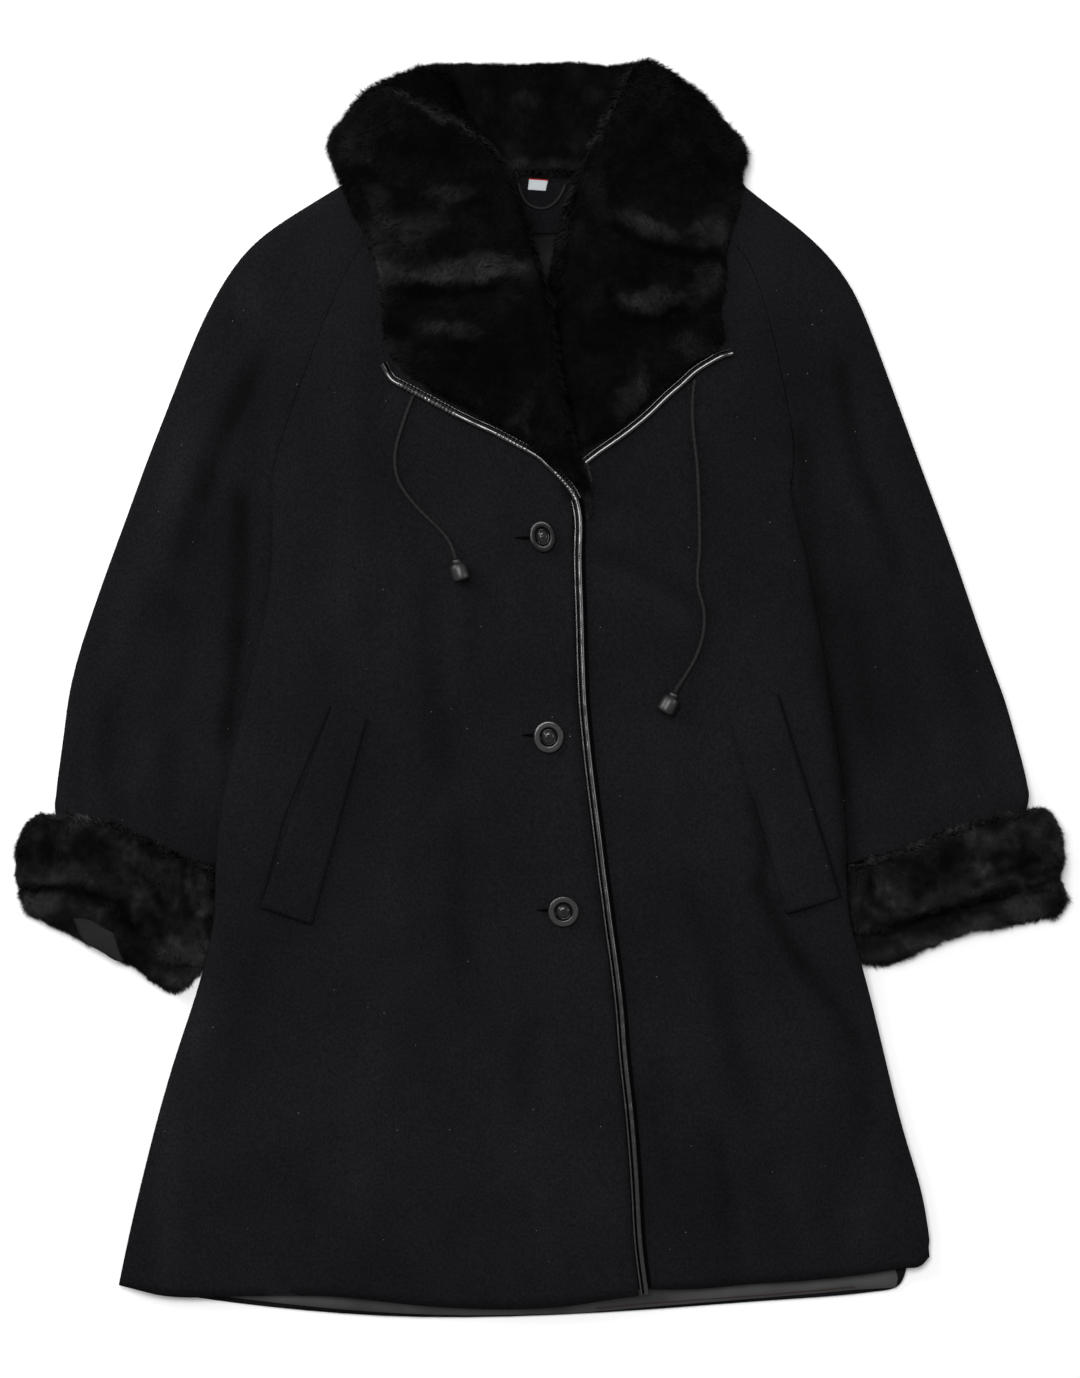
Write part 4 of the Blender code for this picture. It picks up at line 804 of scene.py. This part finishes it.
def thread_bar(points, faces, a, b, radius, arch):
    """Adds one stitch, a short arched bar from a to b, to lists of points and faces."""
    a, b = Vector(a), Vector(b)
    ahead = (b - a).normalized()
    side = Vector((ahead.y, -ahead.x, 0)).normalized() * radius
    start = len(points)
    for share in (0.0, 0.2, 0.5, 0.8, 1.0):
        middle = a.lerp(b, share) + Vector((0, 0, arch * math.sin(math.pi * share)))
        wide = 0.5 + 0.5 * math.sin(math.pi * share)
        for turn in range(4):
            angle = math.pi * turn / 3
            offset = side * math.cos(angle) + Vector((0, 0, radius * math.sin(angle)))
            points.append(tuple(middle + offset * wide))
    for i in range(4):
        for k in range(3):
            q = start + 4 * i + k
            faces.append((q, q + 1, q + 5, q + 4))


def stitches(name, route, heights, length, gap, radius, material):
    """Makes a line of stitches along a route."""
    points, faces = [], []
    step = (route[1] - route[0]).length
    per = max(int(round((length + gap) / step)), 1)
    long = max(int(round(length / step)), 1)
    for i in range(0, len(route) - long, per):
        a, b = route[i], route[i + long]
        thread_bar(points, faces, (a.x, a.y, heights[i]), (b.x, b.y, heights[i + long]), radius, 0.15)
    return add_mesh(name, points, faces, material)


Button = namedtuple("Button", "node x y tilt narrow size hole_x hole_y light")
# A button's light scales its rim's tone: painted shade on the tilted first button's rim, a little painted
# light on the second's.
BUTTONS = [
    Button("button_1", 2, 124, 14, 0.79, 1.0, -20.5, 123.0, 0.36),
    Button("button_2", 7, -39, 3, 0.93, 1.0, -14.5, -37.6, 1.1),
    Button("button_3", 19, -181, 0, 1.0, 0.95, -2.5, -180.0, 1.0),
]
BUTTON_PROFILE = [
    (0.1, 9.6), (0.4, 11.6), (1.2, 12.6), (2.2, 13.05), (2.9, 13.05), (3.5, 12.75), (3.82, 12.35),
    (3.9, 11.9), (3.9, 10.8), (3.9, 9.7), (3.9, 8.7), (3.85, 8.2), (3.6, 7.8), (2.9, 7.5), (1.9, 7.2),
    (1.5, 6.6), (1.45, 5.9), (1.8, 5.2), (2.4, 4.3), (2.8, 3.2), (3.0, 2.0), (3.05, 0.7),
]

# Tone of each ring of the profile: painted shade on the lower side and in the groove round the sunk middle,
# lightest on the flat rim; the gloss follows it.
BUTTON_LIGHT_AND_SHADE = [
    0.004, 0.004, 0.004, 0.004, 0.008, 0.016, 0.024, 0.027, 0.027, 0.027, 0.025, 0.012,
    0.003, 0.002, 0.002, 0.003, 0.006, 0.010, 0.013, 0.013, 0.011, 0.011,
]
BUTTON_SIDES, RIM_RINGS = 64, 12
MIDDLE_LIGHT, HORN_GLOSS = 1.3, 15.0
HOLE_PITCH = 0.5       # between the stitches of a buttonhole


def shade(item, tones, sides):
    """Stores how light each ring of a piece is; the last tone holds for the rings after it."""
    rings = np.minimum(np.arange(len(item.data.vertices)) // sides, len(tones) - 1)
    store_tones(item.data, np.array(tones)[rings])


def button(spec):
    """Makes a polished button with a flat rim, a sunk middle and its thread."""
    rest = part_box(spec.node)[0].z / MM + lifted(spec.x, spec.y)
    tilt = math.radians(spec.tilt)

    def place(a, b, z):
        a, b = a * spec.narrow * spec.size, b * spec.size
        return (spec.x + a * math.cos(tilt) - b * math.sin(tilt),
                spec.y + a * math.sin(tilt) + b * math.cos(tilt), rest + z)

    horn = horn_material("horn_" + spec.node, gloss=HORN_GLOSS)
    disc = turned("disc_" + spec.node, BUTTON_PROFILE, BUTTON_SIDES, place, horn, DISC_SHARP)
    rim, middle = BUTTON_LIGHT_AND_SHADE[:RIM_RINGS], BUTTON_LIGHT_AND_SHADE[RIM_RINGS:]
    # The rim's painted light and shade scaled by the button's light, the middle's by MIDDLE_LIGHT.
    tones = [tone * spec.light for tone in rim] + [tone * MIDDLE_LIGHT for tone in middle]
    shade(disc, tones, BUTTON_SIDES)
    take_place(spec.node)
    points, faces = [], []
    for offset in (-1.5, -0.9, 0.9, 1.5):
        thread_bar(points, faces, place(-2.3, offset, 2.5), place(2.3, offset, 2.5), 0.34, 0.8)
    thread = add_mesh("thread_" + spec.node, points, faces, thread_material("thread_" + spec.node))


def buttonhole(spec):
    """Makes the worked end of the buttonhole that shows beside a button."""
    points, faces = [], []
    count = int((spec.x - 11.0 - spec.hole_x) / HOLE_PITCH)
    for i in range(count):
        x = spec.hole_x + i * HOLE_PITCH
        half = 0.4 + 0.9 * min(i / count * 1.6, 1.0)
        y = spec.hole_y + 0.15 * math.sin(1.7 * i)
        z = top_of(["front_right"], x, y) + lifted(x, y) + 0.8
        thread_bar(points, faces, (x, y - half, z), (x + 0.15, y + half, z), 0.40, 0.3)
    material = thread_material("hole_" + spec.node, (0.0006, 0.0006, 0.0007), gloss=0.02)
    bars = add_mesh("hole_" + spec.node, points, faces, material)
    return bars


CORD_RADIUS = 1.55
CORD_RIGHT = [
    (-103.2, 239.0), (-104.6, 235.5), (-107.3, 228.5), (-112, 215), (-116.5, 200), (-118.2, 187),
    (-116.5, 173.5), (-110.5, 161), (-100, 148), (-88.5, 136.5), (-79.5, 127.5), (-72.5, 117.5),
    (-68.5, 105.5),
]
CORD_LEFT = [
    (126, 252), (124.6, 240), (124.2, 222), (125.6, 204), (128, 183), (129.2, 160), (130, 134), (130, 112),
    (128.4, 94), (129.2, 81), (133, 67.5), (134, 55), (132, 40.5), (126.8, 25.5), (119.4, 12.5),
    (111.5, 0.5), (109.5, -3.2),
]
CORD_REACH, CORD_RISE, TOGGLE_HALF = 6.0, 24.0, 7.0
CORD_SIDES, CORD_PARTS, TOGGLE_SIDES = 12, 5, 40
TOGGLE_TONE = 0.012
KNOT_LENGTH, KNOT_PITCH = 9.0, 2.4       # the wound end of the cord above its toggle
TOGGLE_PROFILE = [
    (0.0, 2.0), (0.2, 3.1), (1.0, 3.8), (2.4, 3.9), (3.2, 3.6), (3.6, 4.2), (4.4, 5.9), (5.6, 6.7),
    (9.0, 7.1), (12.4, 7.3), (15.4, 7.3), (16.9, 7.0), (17.6, 6.0), (17.8, 4.6), (17.1, 3.4), (15.8, 2.8),
    (15.4, 1.2),
]


def rest_height(name, x, y, reach):
    """Height of a solid's highest point close to a place."""
    spots = [(0, 0), (1, 0), (-1, 0), (0, 1), (0, -1), (0.7, 0.7), (-0.7, 0.7), (0.7, -0.7), (-0.7, -0.7)]
    tops = [top_of([name], x + reach * dx, y + reach * dy) for dx, dy in spots]
    return max(top for top in tops if top is not None)


def cord(side, knots, beneath):
    """Makes one twisted drawcord end, lying on the coat, and its bell toggle."""
    coarse = smooth_route(knots, 2.0)
    end, before = coarse[-1], coarse[-3]
    ahead = (end - before).normalized()
    side_way = Vector((ahead.y, -ahead.x))
    middle = end + ahead * 9.0
    axis_z = rest_height(beneath, middle.x, middle.y, 8.0) + 0.7 + TOGGLE_HALF
    heights = []
    for spot in coarse:
        low = rest_height(beneath, spot.x, spot.y, CORD_REACH) + 0.4 + CORD_RADIUS
        near = min((spot - end).length / CORD_RISE, 1.0)
        heights.append(low + (axis_z - low) * (1 - near * near * (3 - 2 * near)))
    heights = eased(heights, 3)
    line = [Vector((spot.x, spot.y, z)) for spot, z in zip(coarse, heights)]
    fine = []
    for a, b in zip(line, line[1:]):
        fine += [a.lerp(b, k / CORD_PARTS) for k in range(CORD_PARTS)]
    fine.append(line[-1])
    points = []
    for i, spot in enumerate(fine):
        way = (fine[min(i + 1, len(fine) - 1)] - fine[max(i - 1, 0)]).normalized()
        across = way.cross(Vector((0, 0, 1))).normalized()
        up = across.cross(way)
        left = KNOT_LENGTH - (spot - fine[-1]).length
        knot = 0.0
        if left > 0:
            knot = min(left, 1.0) * (0.35 + 0.35 * math.cos(2 * math.pi * left / KNOT_PITCH))
        for k in range(CORD_SIDES):
            angle = 2 * math.pi * k / CORD_SIDES
            radius = CORD_RADIUS * (0.93 + 0.09 * math.cos(3 * angle - i * 0.42)) + knot
            points.append(tuple(spot + (across * math.cos(angle) + up * math.sin(angle)) * radius))
    line_piece = add_mesh("drawcord_" + side, points, ring_faces(len(fine), CORD_SIDES),
                          thread_material("drawcord_" + side, scale=900.0))

    def place(a, b, along):
        spot = end + ahead * (0.2 + along) + side_way * a
        return (spot.x, spot.y, axis_z + b)

    horn = horn_material("horn_toggle_" + side, 0.40)
    bell = turned("bell_" + side, TOGGLE_PROFILE, TOGGLE_SIDES, place, horn, BELL_SHARP)
    shade(bell, [TOGGLE_TONE], TOGGLE_SIDES)
    take_place("cord_" + side)
    take_place("toggle_" + side)


# Bindings, as routes with the height of the cloth under them read from the solids.
FRONT_TRIM = [
    (25.6, 159.5), (28.2, 152.5), (30.2, 143), (31.0, 131), (30.5, 116), (30.5, 98), (31.8, 60), (32.7, 25),
    (34.2, -10), (37.3, -45), (41, -78), (44.4, -105), (47.3, -128), (49.9, -150), (52.9, -172), (56, -196),
    (60.1, -225), (64.3, -260), (67.4, -300), (72.8, -350), (76.7, -400), (79.6, -450), (85, -493.5),
]
COLLAR_TRIM_RIGHT = [
    (-127, 265), (-120, 253.5), (-110.5, 248), (-92, 238), (-72, 227), (-54, 218), (-36.5, 210),
    (-18.5, 200.5), (-1, 190.5), (9, 181.5), (18.8, 172.2), (26.4, 163.0), (31.0, 154.5),
]
COLLAR_TRIM_LEFT = [
    (156.5, 275), (147.5, 272.5), (138, 267.5), (125.5, 259.5), (114, 249), (103.5, 240), (88, 225),
    (73, 212.5), (60, 203), (47, 194), (36, 185.5),
]
Gather = namedtuple("Gather", "start end pitch depth")
GATHERS = [Gather(0.09, 0.38, 3.2, 0.36), Gather(0.55, 0.70, 3.4, 0.2), Gather(0.84, 0.99, 3.0, 0.25)]
# Across and height of the binding's section: a thicker outer bead, a groove and a thin inner ridge.
TRIM_SECTION = [
    (-3.1, 0.1), (3.5, 0.1), (3.95, 0.9), (4.0, 2.2), (3.7, 3.4), (3.1, 4.2), (2.3, 4.6), (1.5, 4.6),
    (0.8, 4.48), (0.3, 4.2), (0.0, 3.4), (-0.2, 2.0), (-0.4, 0.9), (-0.9, 0.9), (-1.2, 2.2), (-1.6, 3.1),
    (-2.1, 3.4), (-2.7, 3.2), (-3.1, 2.0),
]
RIDGE_START = 13       # first point of the section that belongs to the ridge
# Tone of each point of the section: painted shade in the groove and at the sides, painted highlights on the
# bead's crown and the ridge; the gloss follows it.
TRIM_LIGHT_AND_SHADE = [0.5, 0.5, 0.6, 0.7, 0.85, 1.0, 1.05, 1.1, 1.1, 0.9,
              0.4, 0.15, 0.05, 0.05, 0.5, 1.3, 1.5, 1.3, 0.5]


def binding(node, knots, flip, gathers, ridge=1.0):
    """Makes a leather binding: a bead and a thin ridge, wrinkled where it is gathered, with painted shade
    and highlights in its tones; ridge scales the ridge's painted highlight.
    """
    route = smooth_route(knots, 0.8 if gathers else 1.6)
    heights = []
    for spot in route:
        hit = trees[node].ray_cast(Vector((spot.x, spot.y, -50)), Vector((0, 0, 1)))[0]
        heights.append(hit.z if hit is not None else None)
    known = [h for h in heights if h is not None]
    heights = [h if h is not None else known[0] if i < len(heights) / 2 else known[-1]
               for i, h in enumerate(heights)]
    heights = eased(heights, 12)
    wave, dents = Lattice(31, 30.0), Lattice(32, 7.0)
    length = sum((b - a).length for a, b in zip(route, route[1:]))

    def wrinkle(i, share):
        """How strongly the binding is gathered at a point of its route, and how far up a wrinkle that is."""
        for gather in gathers:
            inside = min(share - gather.start, gather.end - share) * length
            if inside > 0:
                wander = 0.9 * dents.at(*route[i])
                crest = math.sin(2 * math.pi * share * length / gather.pitch + wander)
                return min(inside / 6, 1.0) * gather.depth, crest
        return 0.0, 0.0

    def profile(i, share):
        strength, crest = wrinkle(i, share)
        swell = 1 + 0.10 * wave.at(*route[i]) + 0.05 * dents.at(*route[i]) + 0.5 * strength * crest
        lift = lifted(*route[i])
        risen = min(0.1 + share * length / 16, 1.0) if flip < 0 else 1.0
        section = []
        for s, z in TRIM_SECTION:
            height = z * (swell if z > 0.5 else 1.0) * (risen if s < -1 else 1.0)
            section.append((flip * s * (0.9 + 0.1 * swell), lift + height))
        return section

    item = swept("leather_" + node, route, heights, profile, leather_material("leather_" + node))
    # Painted highlights where the binding is gathered, brightest on the wrinkles' crests.
    pleats = [wrinkle(i, share) for i, share in enumerate(np.linspace(0, 1, len(route)))]
    light = [1 + 3 * strength * (1 + 0.85 * crest) for strength, crest in pleats]
    section = np.array(TRIM_LIGHT_AND_SHADE) * np.where(np.arange(len(TRIM_LIGHT_AND_SHADE)) < RIDGE_START, 1.0, ridge)
    store_tones(item.data, np.tile(section, len(route)) * np.repeat(light, len(section)))
    take_place(node)


LABEL = [(-8.8, 418.1), (6.8, 416.9), (4.6, 407.6), (-10.0, 408.6)]  # corners, from the top ones
LABEL_EDGE = 1.1       # how wide its coloured edge is


def label():
    """Makes the small woven label, bare but for the coloured edge it has on top."""
    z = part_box("label")[0].z / MM + 0.15
    a, b, c, d = (Vector(corner) for corner in LABEL)
    points, faces = [], []
    long, wide = 14, 9
    for layer in (0, 1):
        for i in range(wide + 1):
            for j in range(long + 1):
                u, v = j / long, i / wide
                spot = a.lerp(b, u).lerp(d.lerp(c, u), v)
                curl = 0.5 * v * v + 0.12 * math.sin(6 * u) * v
                points.append((spot.x, spot.y, z + curl + 0.45 * layer))
    size = (wide + 1) * (long + 1)
    for i in range(wide):
        for j in range(long):
            q = i * (long + 1) + j
            faces.append((size + q, size + q + 1, size + q + long + 2, size + q + long + 1))
            faces.append((q, q + long + 1, q + long + 2, q + 1))
    rim = list(range(long + 1)) + [i * (long + 1) + long for i in range(1, wide + 1)]
    rim += [wide * (long + 1) + j for j in reversed(range(long))]
    rim += [i * (long + 1) for i in reversed(range(1, wide))]
    for p, q in zip(rim, rim[1:] + rim[:1]):
        faces.append((p, q, size + q, size + p))
    material = plain_material("woven_label", (0.50, 0.53, 0.55), 0.75, 0.2)
    rows = noise(material, place_of(material, (1.0, 3.0, 1.0)), 1600.0, 2.0)
    bump(material, [(rows, 0.0002)], 0.6)
    item = add_mesh("woven_label", points, faces, material)
    item.data.materials.append(plain_material("label_edge", (0.32, 0.008, 0.010), 0.7, 0.2))
    middle, slope = (a + b) / 2, (b.y - a.y) / (b.x - a.x)
    for face in item.data.polygons:
        spot = face.center / MM
        if spot.y > middle.y - LABEL_EDGE + (spot.x - middle.x) * slope:
            face.material_index = 1
    take_place("label")
    return item


# Build

make_camera()
make_studio()

sheet_pieces = {}      # the main piece made for each node, and the pieces that go with it, by node


def add_to_sheet(node, piece):
    """Counts one more piece with a sheet."""
    sheet_pieces[node][1].append(piece)


def strip(name, route, heights, half, thick, material):
    """Makes a thin flat strip along a route."""
    profile = [(-half, 0.0), (half, 0.0), (half, thick), (-half, thick)]
    return swept(name, route, heights, lambda i, share: profile, material)


def on_top(names, route, rise):
    """Heights just over the highest of the solids, along a route."""
    found = [top_of(names, spot.x, spot.y) for spot in route]
    known = [h for h in found if h is not None]
    return [(known[0] if h is None else h) + lifted(spot.x, spot.y) + rise for h, spot in zip(found, route)]


def fit_lining(item):
    """Brings the lining's lower edge close to the back's, round its corner at the wearer's left."""
    points = read_vectors(item.data) / MM
    low = np.clip((-468 - points[:, 1]) / 20, 0, 1)
    start, end = np.clip((points[:, 0] + 20) / 60, 0, 1), np.clip((300 - points[:, 0]) / 60, 0, 1)
    points[:, 1] -= 1.8 * low * start * end
    write_points(item.data, points * MM)


for node in ["back", "neck_facing", "front_right", "front_left", "sleeve_right", "sleeve_left",
             "welt_right", "welt_left"]:
    sheet_pieces[node] = (cloth(node, wool_material("wool_" + node)), [])
for node in ["back_lining", "sleeve_lining_right", "hanger_loop"]:
    sheet_pieces[node] = (cloth(node, satin_material("satin_" + node), relief=False), [])
fit_lining(sheet_pieces["back_lining"][0])
for spec in BUTTONS:
    button(spec)
    sheet_pieces["front_right"][1].append(buttonhole(spec))
cord("right", CORD_RIGHT, "front_right")
cord("left", CORD_LEFT, "front_left")
binding("trim_front", FRONT_TRIM, -1, [])
binding("trim_collar_right", COLLAR_TRIM_RIGHT, 1, GATHERS, 0.45)
binding("trim_collar_left", COLLAR_TRIM_LEFT, -1, [], 0.45)
sheet_pieces["label"] = (label(), [])

# The wool that runs on from the neck facing to the seam under the collar.
under_band = [Vector((x, 424.5)) for x in range(-60, 61, 4)]
facing_end = strip("neck_seam", under_band, [4.75] * len(under_band), 9.0, 0.5,
                   wool_material("wool_neck_seam"))
shade(facing_end, [1.0], 4)
add_to_sheet("neck_facing", facing_end)

# A near-black strip on the under front beside the binding: painted shadow of the upper front's edge.
shadow_strip_route = []
trim_route = smooth_route(FRONT_TRIM, 4.0)
for before, spot, after in zip(trim_route, trim_route[1:], trim_route[2:]):
    ahead = (after - before).normalized()
    shadow_strip_route.append(spot + Vector((-ahead.y, ahead.x)) * 5.2)
shadow_strip_heights = eased(on_top(["front_left"], shadow_strip_route, 0.25), 2)
turned_edge = strip("turned_edge", shadow_strip_route, shadow_strip_heights, 1.5, 0.5,
                    thread_material("turned_edge", (0.0008, 0.0007, 0.0007), gloss=0.02))

# Each welt's edge stitching, and a dark strip along the mouth of its pocket: painted shade in the opening.
WELTS = [
    ("welt_right", [(-170.6, -15.6), (-144.6, -26.4), (-188.0, -189.0), (-224.2, -176.0)],
     [(-170.6, -14.0), (-199.3, -82), (-211.2, -115), (-227.2, -177.5)]),
    ("welt_left", [(190.6, -7.4), (155.9, -21.0), (201.8, -180.0), (239.6, -168.4)],
     [(194.6, -4.3), (220, -87), (244.8, -169.6)]),
]
for node, seam, mouth in WELTS:
    front = node.replace("welt", "front")
    line = []
    for (ax, ay), (bx, by) in zip(seam, seam[1:]):
        steps = int(math.hypot(bx - ax, by - ay) / 0.6)
        line += [Vector((ax + (bx - ax) * k / steps, ay + (by - ay) * k / steps)) for k in range(steps)]
    sewn = stitches("stitches_" + node, line, on_top([node, front], line, 0.2), 2.4, 0.9, 0.22,
                    thread_material("thread_" + node, (0.0035, 0.0035, 0.0040)))
    edge = smooth_route(mouth, 3.0)
    # Painted shade in the pocket's mouth.
    dark = strip("mouth_" + node, edge, on_top([front], edge, 0.4), 0.7, 0.3,
                 thread_material("mouth_" + node, (0.0028, 0.0028, 0.0031), gloss=0.02))
    add_to_sheet(node, sewn)
    add_to_sheet(node, dark)

# The thin brown stitching along the lining's lower edge.
HEM_SEARCH, HEM_STEP, HEM_INSET = (-512.0, -460), 0.4, 0.6
hem_line = []
for x in range(46, 262, 4):
    y = HEM_SEARCH[0]
    while top_of(["back_lining"], x, y) is None and y < HEM_SEARCH[1]:
        y += HEM_STEP
    hem_line.append(Vector((x, y + HEM_INSET)))
hem_line = [Vector((spot.x, float(y))) for spot, y in zip(hem_line, eased([v.y for v in hem_line], 2))]
hem_sewn = strip("hem_stitching", hem_line, on_top(["back_lining"], hem_line, 0.15), 0.45, 0.3,
                 thread_material("thread_hem", (0.020, 0.013, 0.010)))
add_to_sheet("back_lining", hem_sewn)

# The fur pieces: hairs, their length, how light and how mottled they are, which way they run, and rows for
# their patches and creases. The patches are painted highlights, and below zero painted shade, the creases
# get painted shade, and each piece's level of lightness is partly its own colour and partly painted light.
Fur = namedtuple("Fur", "node count length base mottled flow patches creases")
FURS = [
    Fur("collar_right", 180000, 7.5, 0.92, 0.62, (-0.5, -0.85), [
        (-124, 356, 24, 32, 0, 3.2), (-73, 399, 22, 7, 5, 2.7), (-60, 337, 50, 11, 4, 4.4),
        (-71, 290, 27, 7, -4, 2.5), (-126, 274, 10, 12, 0, 1.7), (-17, 218, 12, 16, 0, 1.3),
        (-57, 462, 8, 14, 0, 1.7), (-149, 438, 14, 18, 0, 1.9), (-98, 372, 16, 12, 30, 1.5),
        (-45, 272, 38, 26, 0, -0.45), (-83, 438, 34, 18, -28, -0.35), (-80, 482, 38, 11, -30, -0.45),
        (-76, 458, 60, 4.0, -30, 2.0), (-134, 392, 10, 16, 0, 2.2), (-104, 330, 22, 6, 0, 2.4),
        (-28, 348, 8, 24, 10, -0.4), (-112, 300, 20, 14, 0, -0.4),
    ], [
        (-129, 323, -70, 321, -28, 326, 6, -3.5), (-103, 334, -60, 333, -16, 333, 8, 2.6),
        (-122, 480, -78, 462, -30, 427, 6, 4.6), (-118, 491, -72, 474, -28, 440, 5, -6.5),
        (-104, 494, -76, 484, -54, 462, 9, -3.5), (-150, 455, -130, 440, -104, 432, 7, -1.8),
        (-125, 392, -90, 388, -52, 396, 7, -2.2), (-128, 300, -96, 280, -60, 276, 7, -2.0),
        (-150, 420, -128, 410, -112, 392, 6, -2.4),
    ]),
    Fur("collar_left", 180000, 7.5, 1.05, 0.62, (0.5, -0.85), [
        (84, 373, 27, 10, -22, 2.2), (45, 403, 11, 18, 20, 1.2), (139, 369, 18, 13, 0, 2.7),
        (92, 311, 30, 9, 8, 3.6), (135, 331, 12, 14, 0, 2.7), (76, 240, 9, 26, -18, 2.3),
        (129, 273, 22, 9, -28, 2.1), (60, 449, 34, 26, 0, -0.15), (120, 440, 14, 12, 0, 1.1),
        (52, 285, 22, 24, 0, -0.35), (49, 460, 48, 3.5, 63, 1.6), (17, 396, 28, 3.0, 72, 1.2),
    ], [
        (61, 378, 92, 358, 146, 353, 5, -4.5), (70, 386, 96, 372, 126, 366, 9, 2.4),
        (56, 322, 84, 297, 121, 315, 5, -4.2), (68, 322, 92, 311, 116, 318, 7, 2.2),
        (34, 430, 58, 400, 72, 380, 8, -1.8), (100, 290, 120, 300, 150, 318, 7, -2.2),
        (118, 470, 128, 440, 160, 420, 7, -2.0),
    ]),
    Fur("collar_back", 100000, 7.5, 0.7, 0.7, (0.1, 1.0), [
        (-10, 481, 10, 8, 0, 1.7), (46, 486, 9, 9, 0, 1.3), (-20, 435, 12, 12, 0, 1.3),
        (0, 421, 60, 7, 0, 4.0),
    ], [
        (-40, 505, -30, 470, -44, 436, 7, -1.6), (20, 507, 10, 470, 24, 432, 8, -1.4),
    ]),
    Fur("cuff_right", 120000, 7.0, 2.1, 0.95, (-0.3, -1.0), [
        (-292, -164, 7, 12, 0, 1.2), (-328, -133, 22, 9, -30, 0.7), (-321, -176, 10, 9, 0, 0.9),
        (-298, -203, 12, 14, 0, 1.2), (-314, -218, 12, 9, 0, 1.0), (-362, -184, 12, 6, 0, 1.4),
        (-372, -111, 14, 8, 0, 0.6), (-408, -172, 16, 7, 0, 0.7), (-396, -136, 24, 14, 0, -0.35),
        (-338, -180, 8, 14, -30, -0.6), (-286, -158, 4, 18, 0, -0.5), (-336, -206, 26, 8, 10, 0.6),
        (-294, -226, 26, 20, 0, 4.8), (-280, -190, 11, 24, 0, 2.2), (-404, -178, 24, 9, 0, 2.0),
        (-374, -176, 26, 7, -6, 0.7),
    ], [
        (-324, -150, -313, -165, -308, -177, 4, -3.4), (-317, -183, -312, -193, -309, -206, 4, -3.0),
        (-287, -143, -290, -162, -283, -188, 5, -3.6), (-284, -140, -275, -152, -263, -165, 4, 2.0),
        (-427, -163, -384, -162, -345, -176, 3.4, -3.2), (-424, -156, -384, -155, -350, -162, 6, 2.2),
        (-345, -174, -336, -186, -330, -206, 5, -3.6), (-372, -112, -366, -128, -352, -140, 7, -1.8),
        (-330, -214, -312, -226, -296, -234, 5, -2.6), (-402, -110, -396, -124, -398, -140, 7, -1.6),
    ]),
    Fur("cuff_left", 120000, 7.0, 2.35, 0.95, (0.3, -1.0), [
        (324, -127, 34, 7, 14, 0.9), (382, -118, 32, 9, 10, 1.1), (364, -146, 12, 8, 10, 1.4),
        (313, -155, 20, 14, 0, -0.6), (402, -147, 20, 6, 15, -0.6), (282, -163, 12, 18, 0, 0.9),
        (400, -178, 26, 12, 14, 2.6), (362, -196, 26, 8, 12, 1.0), (270, -168, 16, 26, 0, 0.5),
        (296, -209, 34, 11, 8, 1.6), (304, -198, 22, 7, 0, -0.2), (340, -196, 34, 8, 12, 0.9),
        (268, -176, 8, 12, 0, -0.5),
    ], [
        (350, -160, 376, -150, 408, -138, 4, -3.0), (268, -150, 276, -176, 296, -190, 5, -2.6),
        (286, -195, 342, -177, 420, -158, 3.2, -3.2), (284, -186, 340, -168, 416, -149, 6, 1.8),
        (320, -120, 326, -140, 344, -152, 7, -1.8), (384, -112, 380, -126, 366, -136, 7, -1.6),
    ]),
]
for number, spec in enumerate(FURS):
    others = [tree for name, tree in trees.items() if name != spec.node and not name.startswith("trim")]
    cuff = spec.node.startswith("cuff")
    light_ovals, creases = [Patch(*row) for row in spec.patches], [Crease(*row) for row in spec.creases]
    skin = fur_skin(spec.node, creases, spec.base, others if cuff else [])
    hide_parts(spec.node)
    hair = grow_fur(skin, "fur_" + spec.node, others, spec.count, spec.length, 100 + 10 * number,
                    steady(*spec.flow), patches(light_ovals, spec.base, spec.mottled, creases), cuff)
    sheet_pieces[spec.node] = (skin, [hair])

# The end of the under lobe's fur, a narrow strip beside the binding.
TONGUE = [(33.5, 196), (36.0, 184), (38.3, 172), (39.6, 160), (40.0, 148), (39.6, 138)]
TONGUE_SECTION = [(-1.9, 0), (1.9, 0), (1.9, 1.6), (-1.9, 1.6)]
tongue_route = smooth_route(TONGUE, 3.0)
tongue = swept("skin_tongue", tongue_route, eased(on_top(["front_left"], tongue_route, 0.5), 2),
               lambda i, share: [(s * (1 - 0.8 * share**3), z) for s, z in TONGUE_SECTION],
               skin_material("skin_tongue", 3.4))
# Its levels, and the oval at its upper end, paint light onto the strip where the collar's tip shades it.
tongue_hair = grow_fur(tongue, "fur_tongue", [], 8000, 3.6, 170, steady(0.1, -1.0),
                       patches([Patch(38, 174, 12, 14, 0, 3.0)], 2.5, 0.5, []))
add_to_sheet("collar_left", tongue)
add_to_sheet("collar_left", tongue_hair)
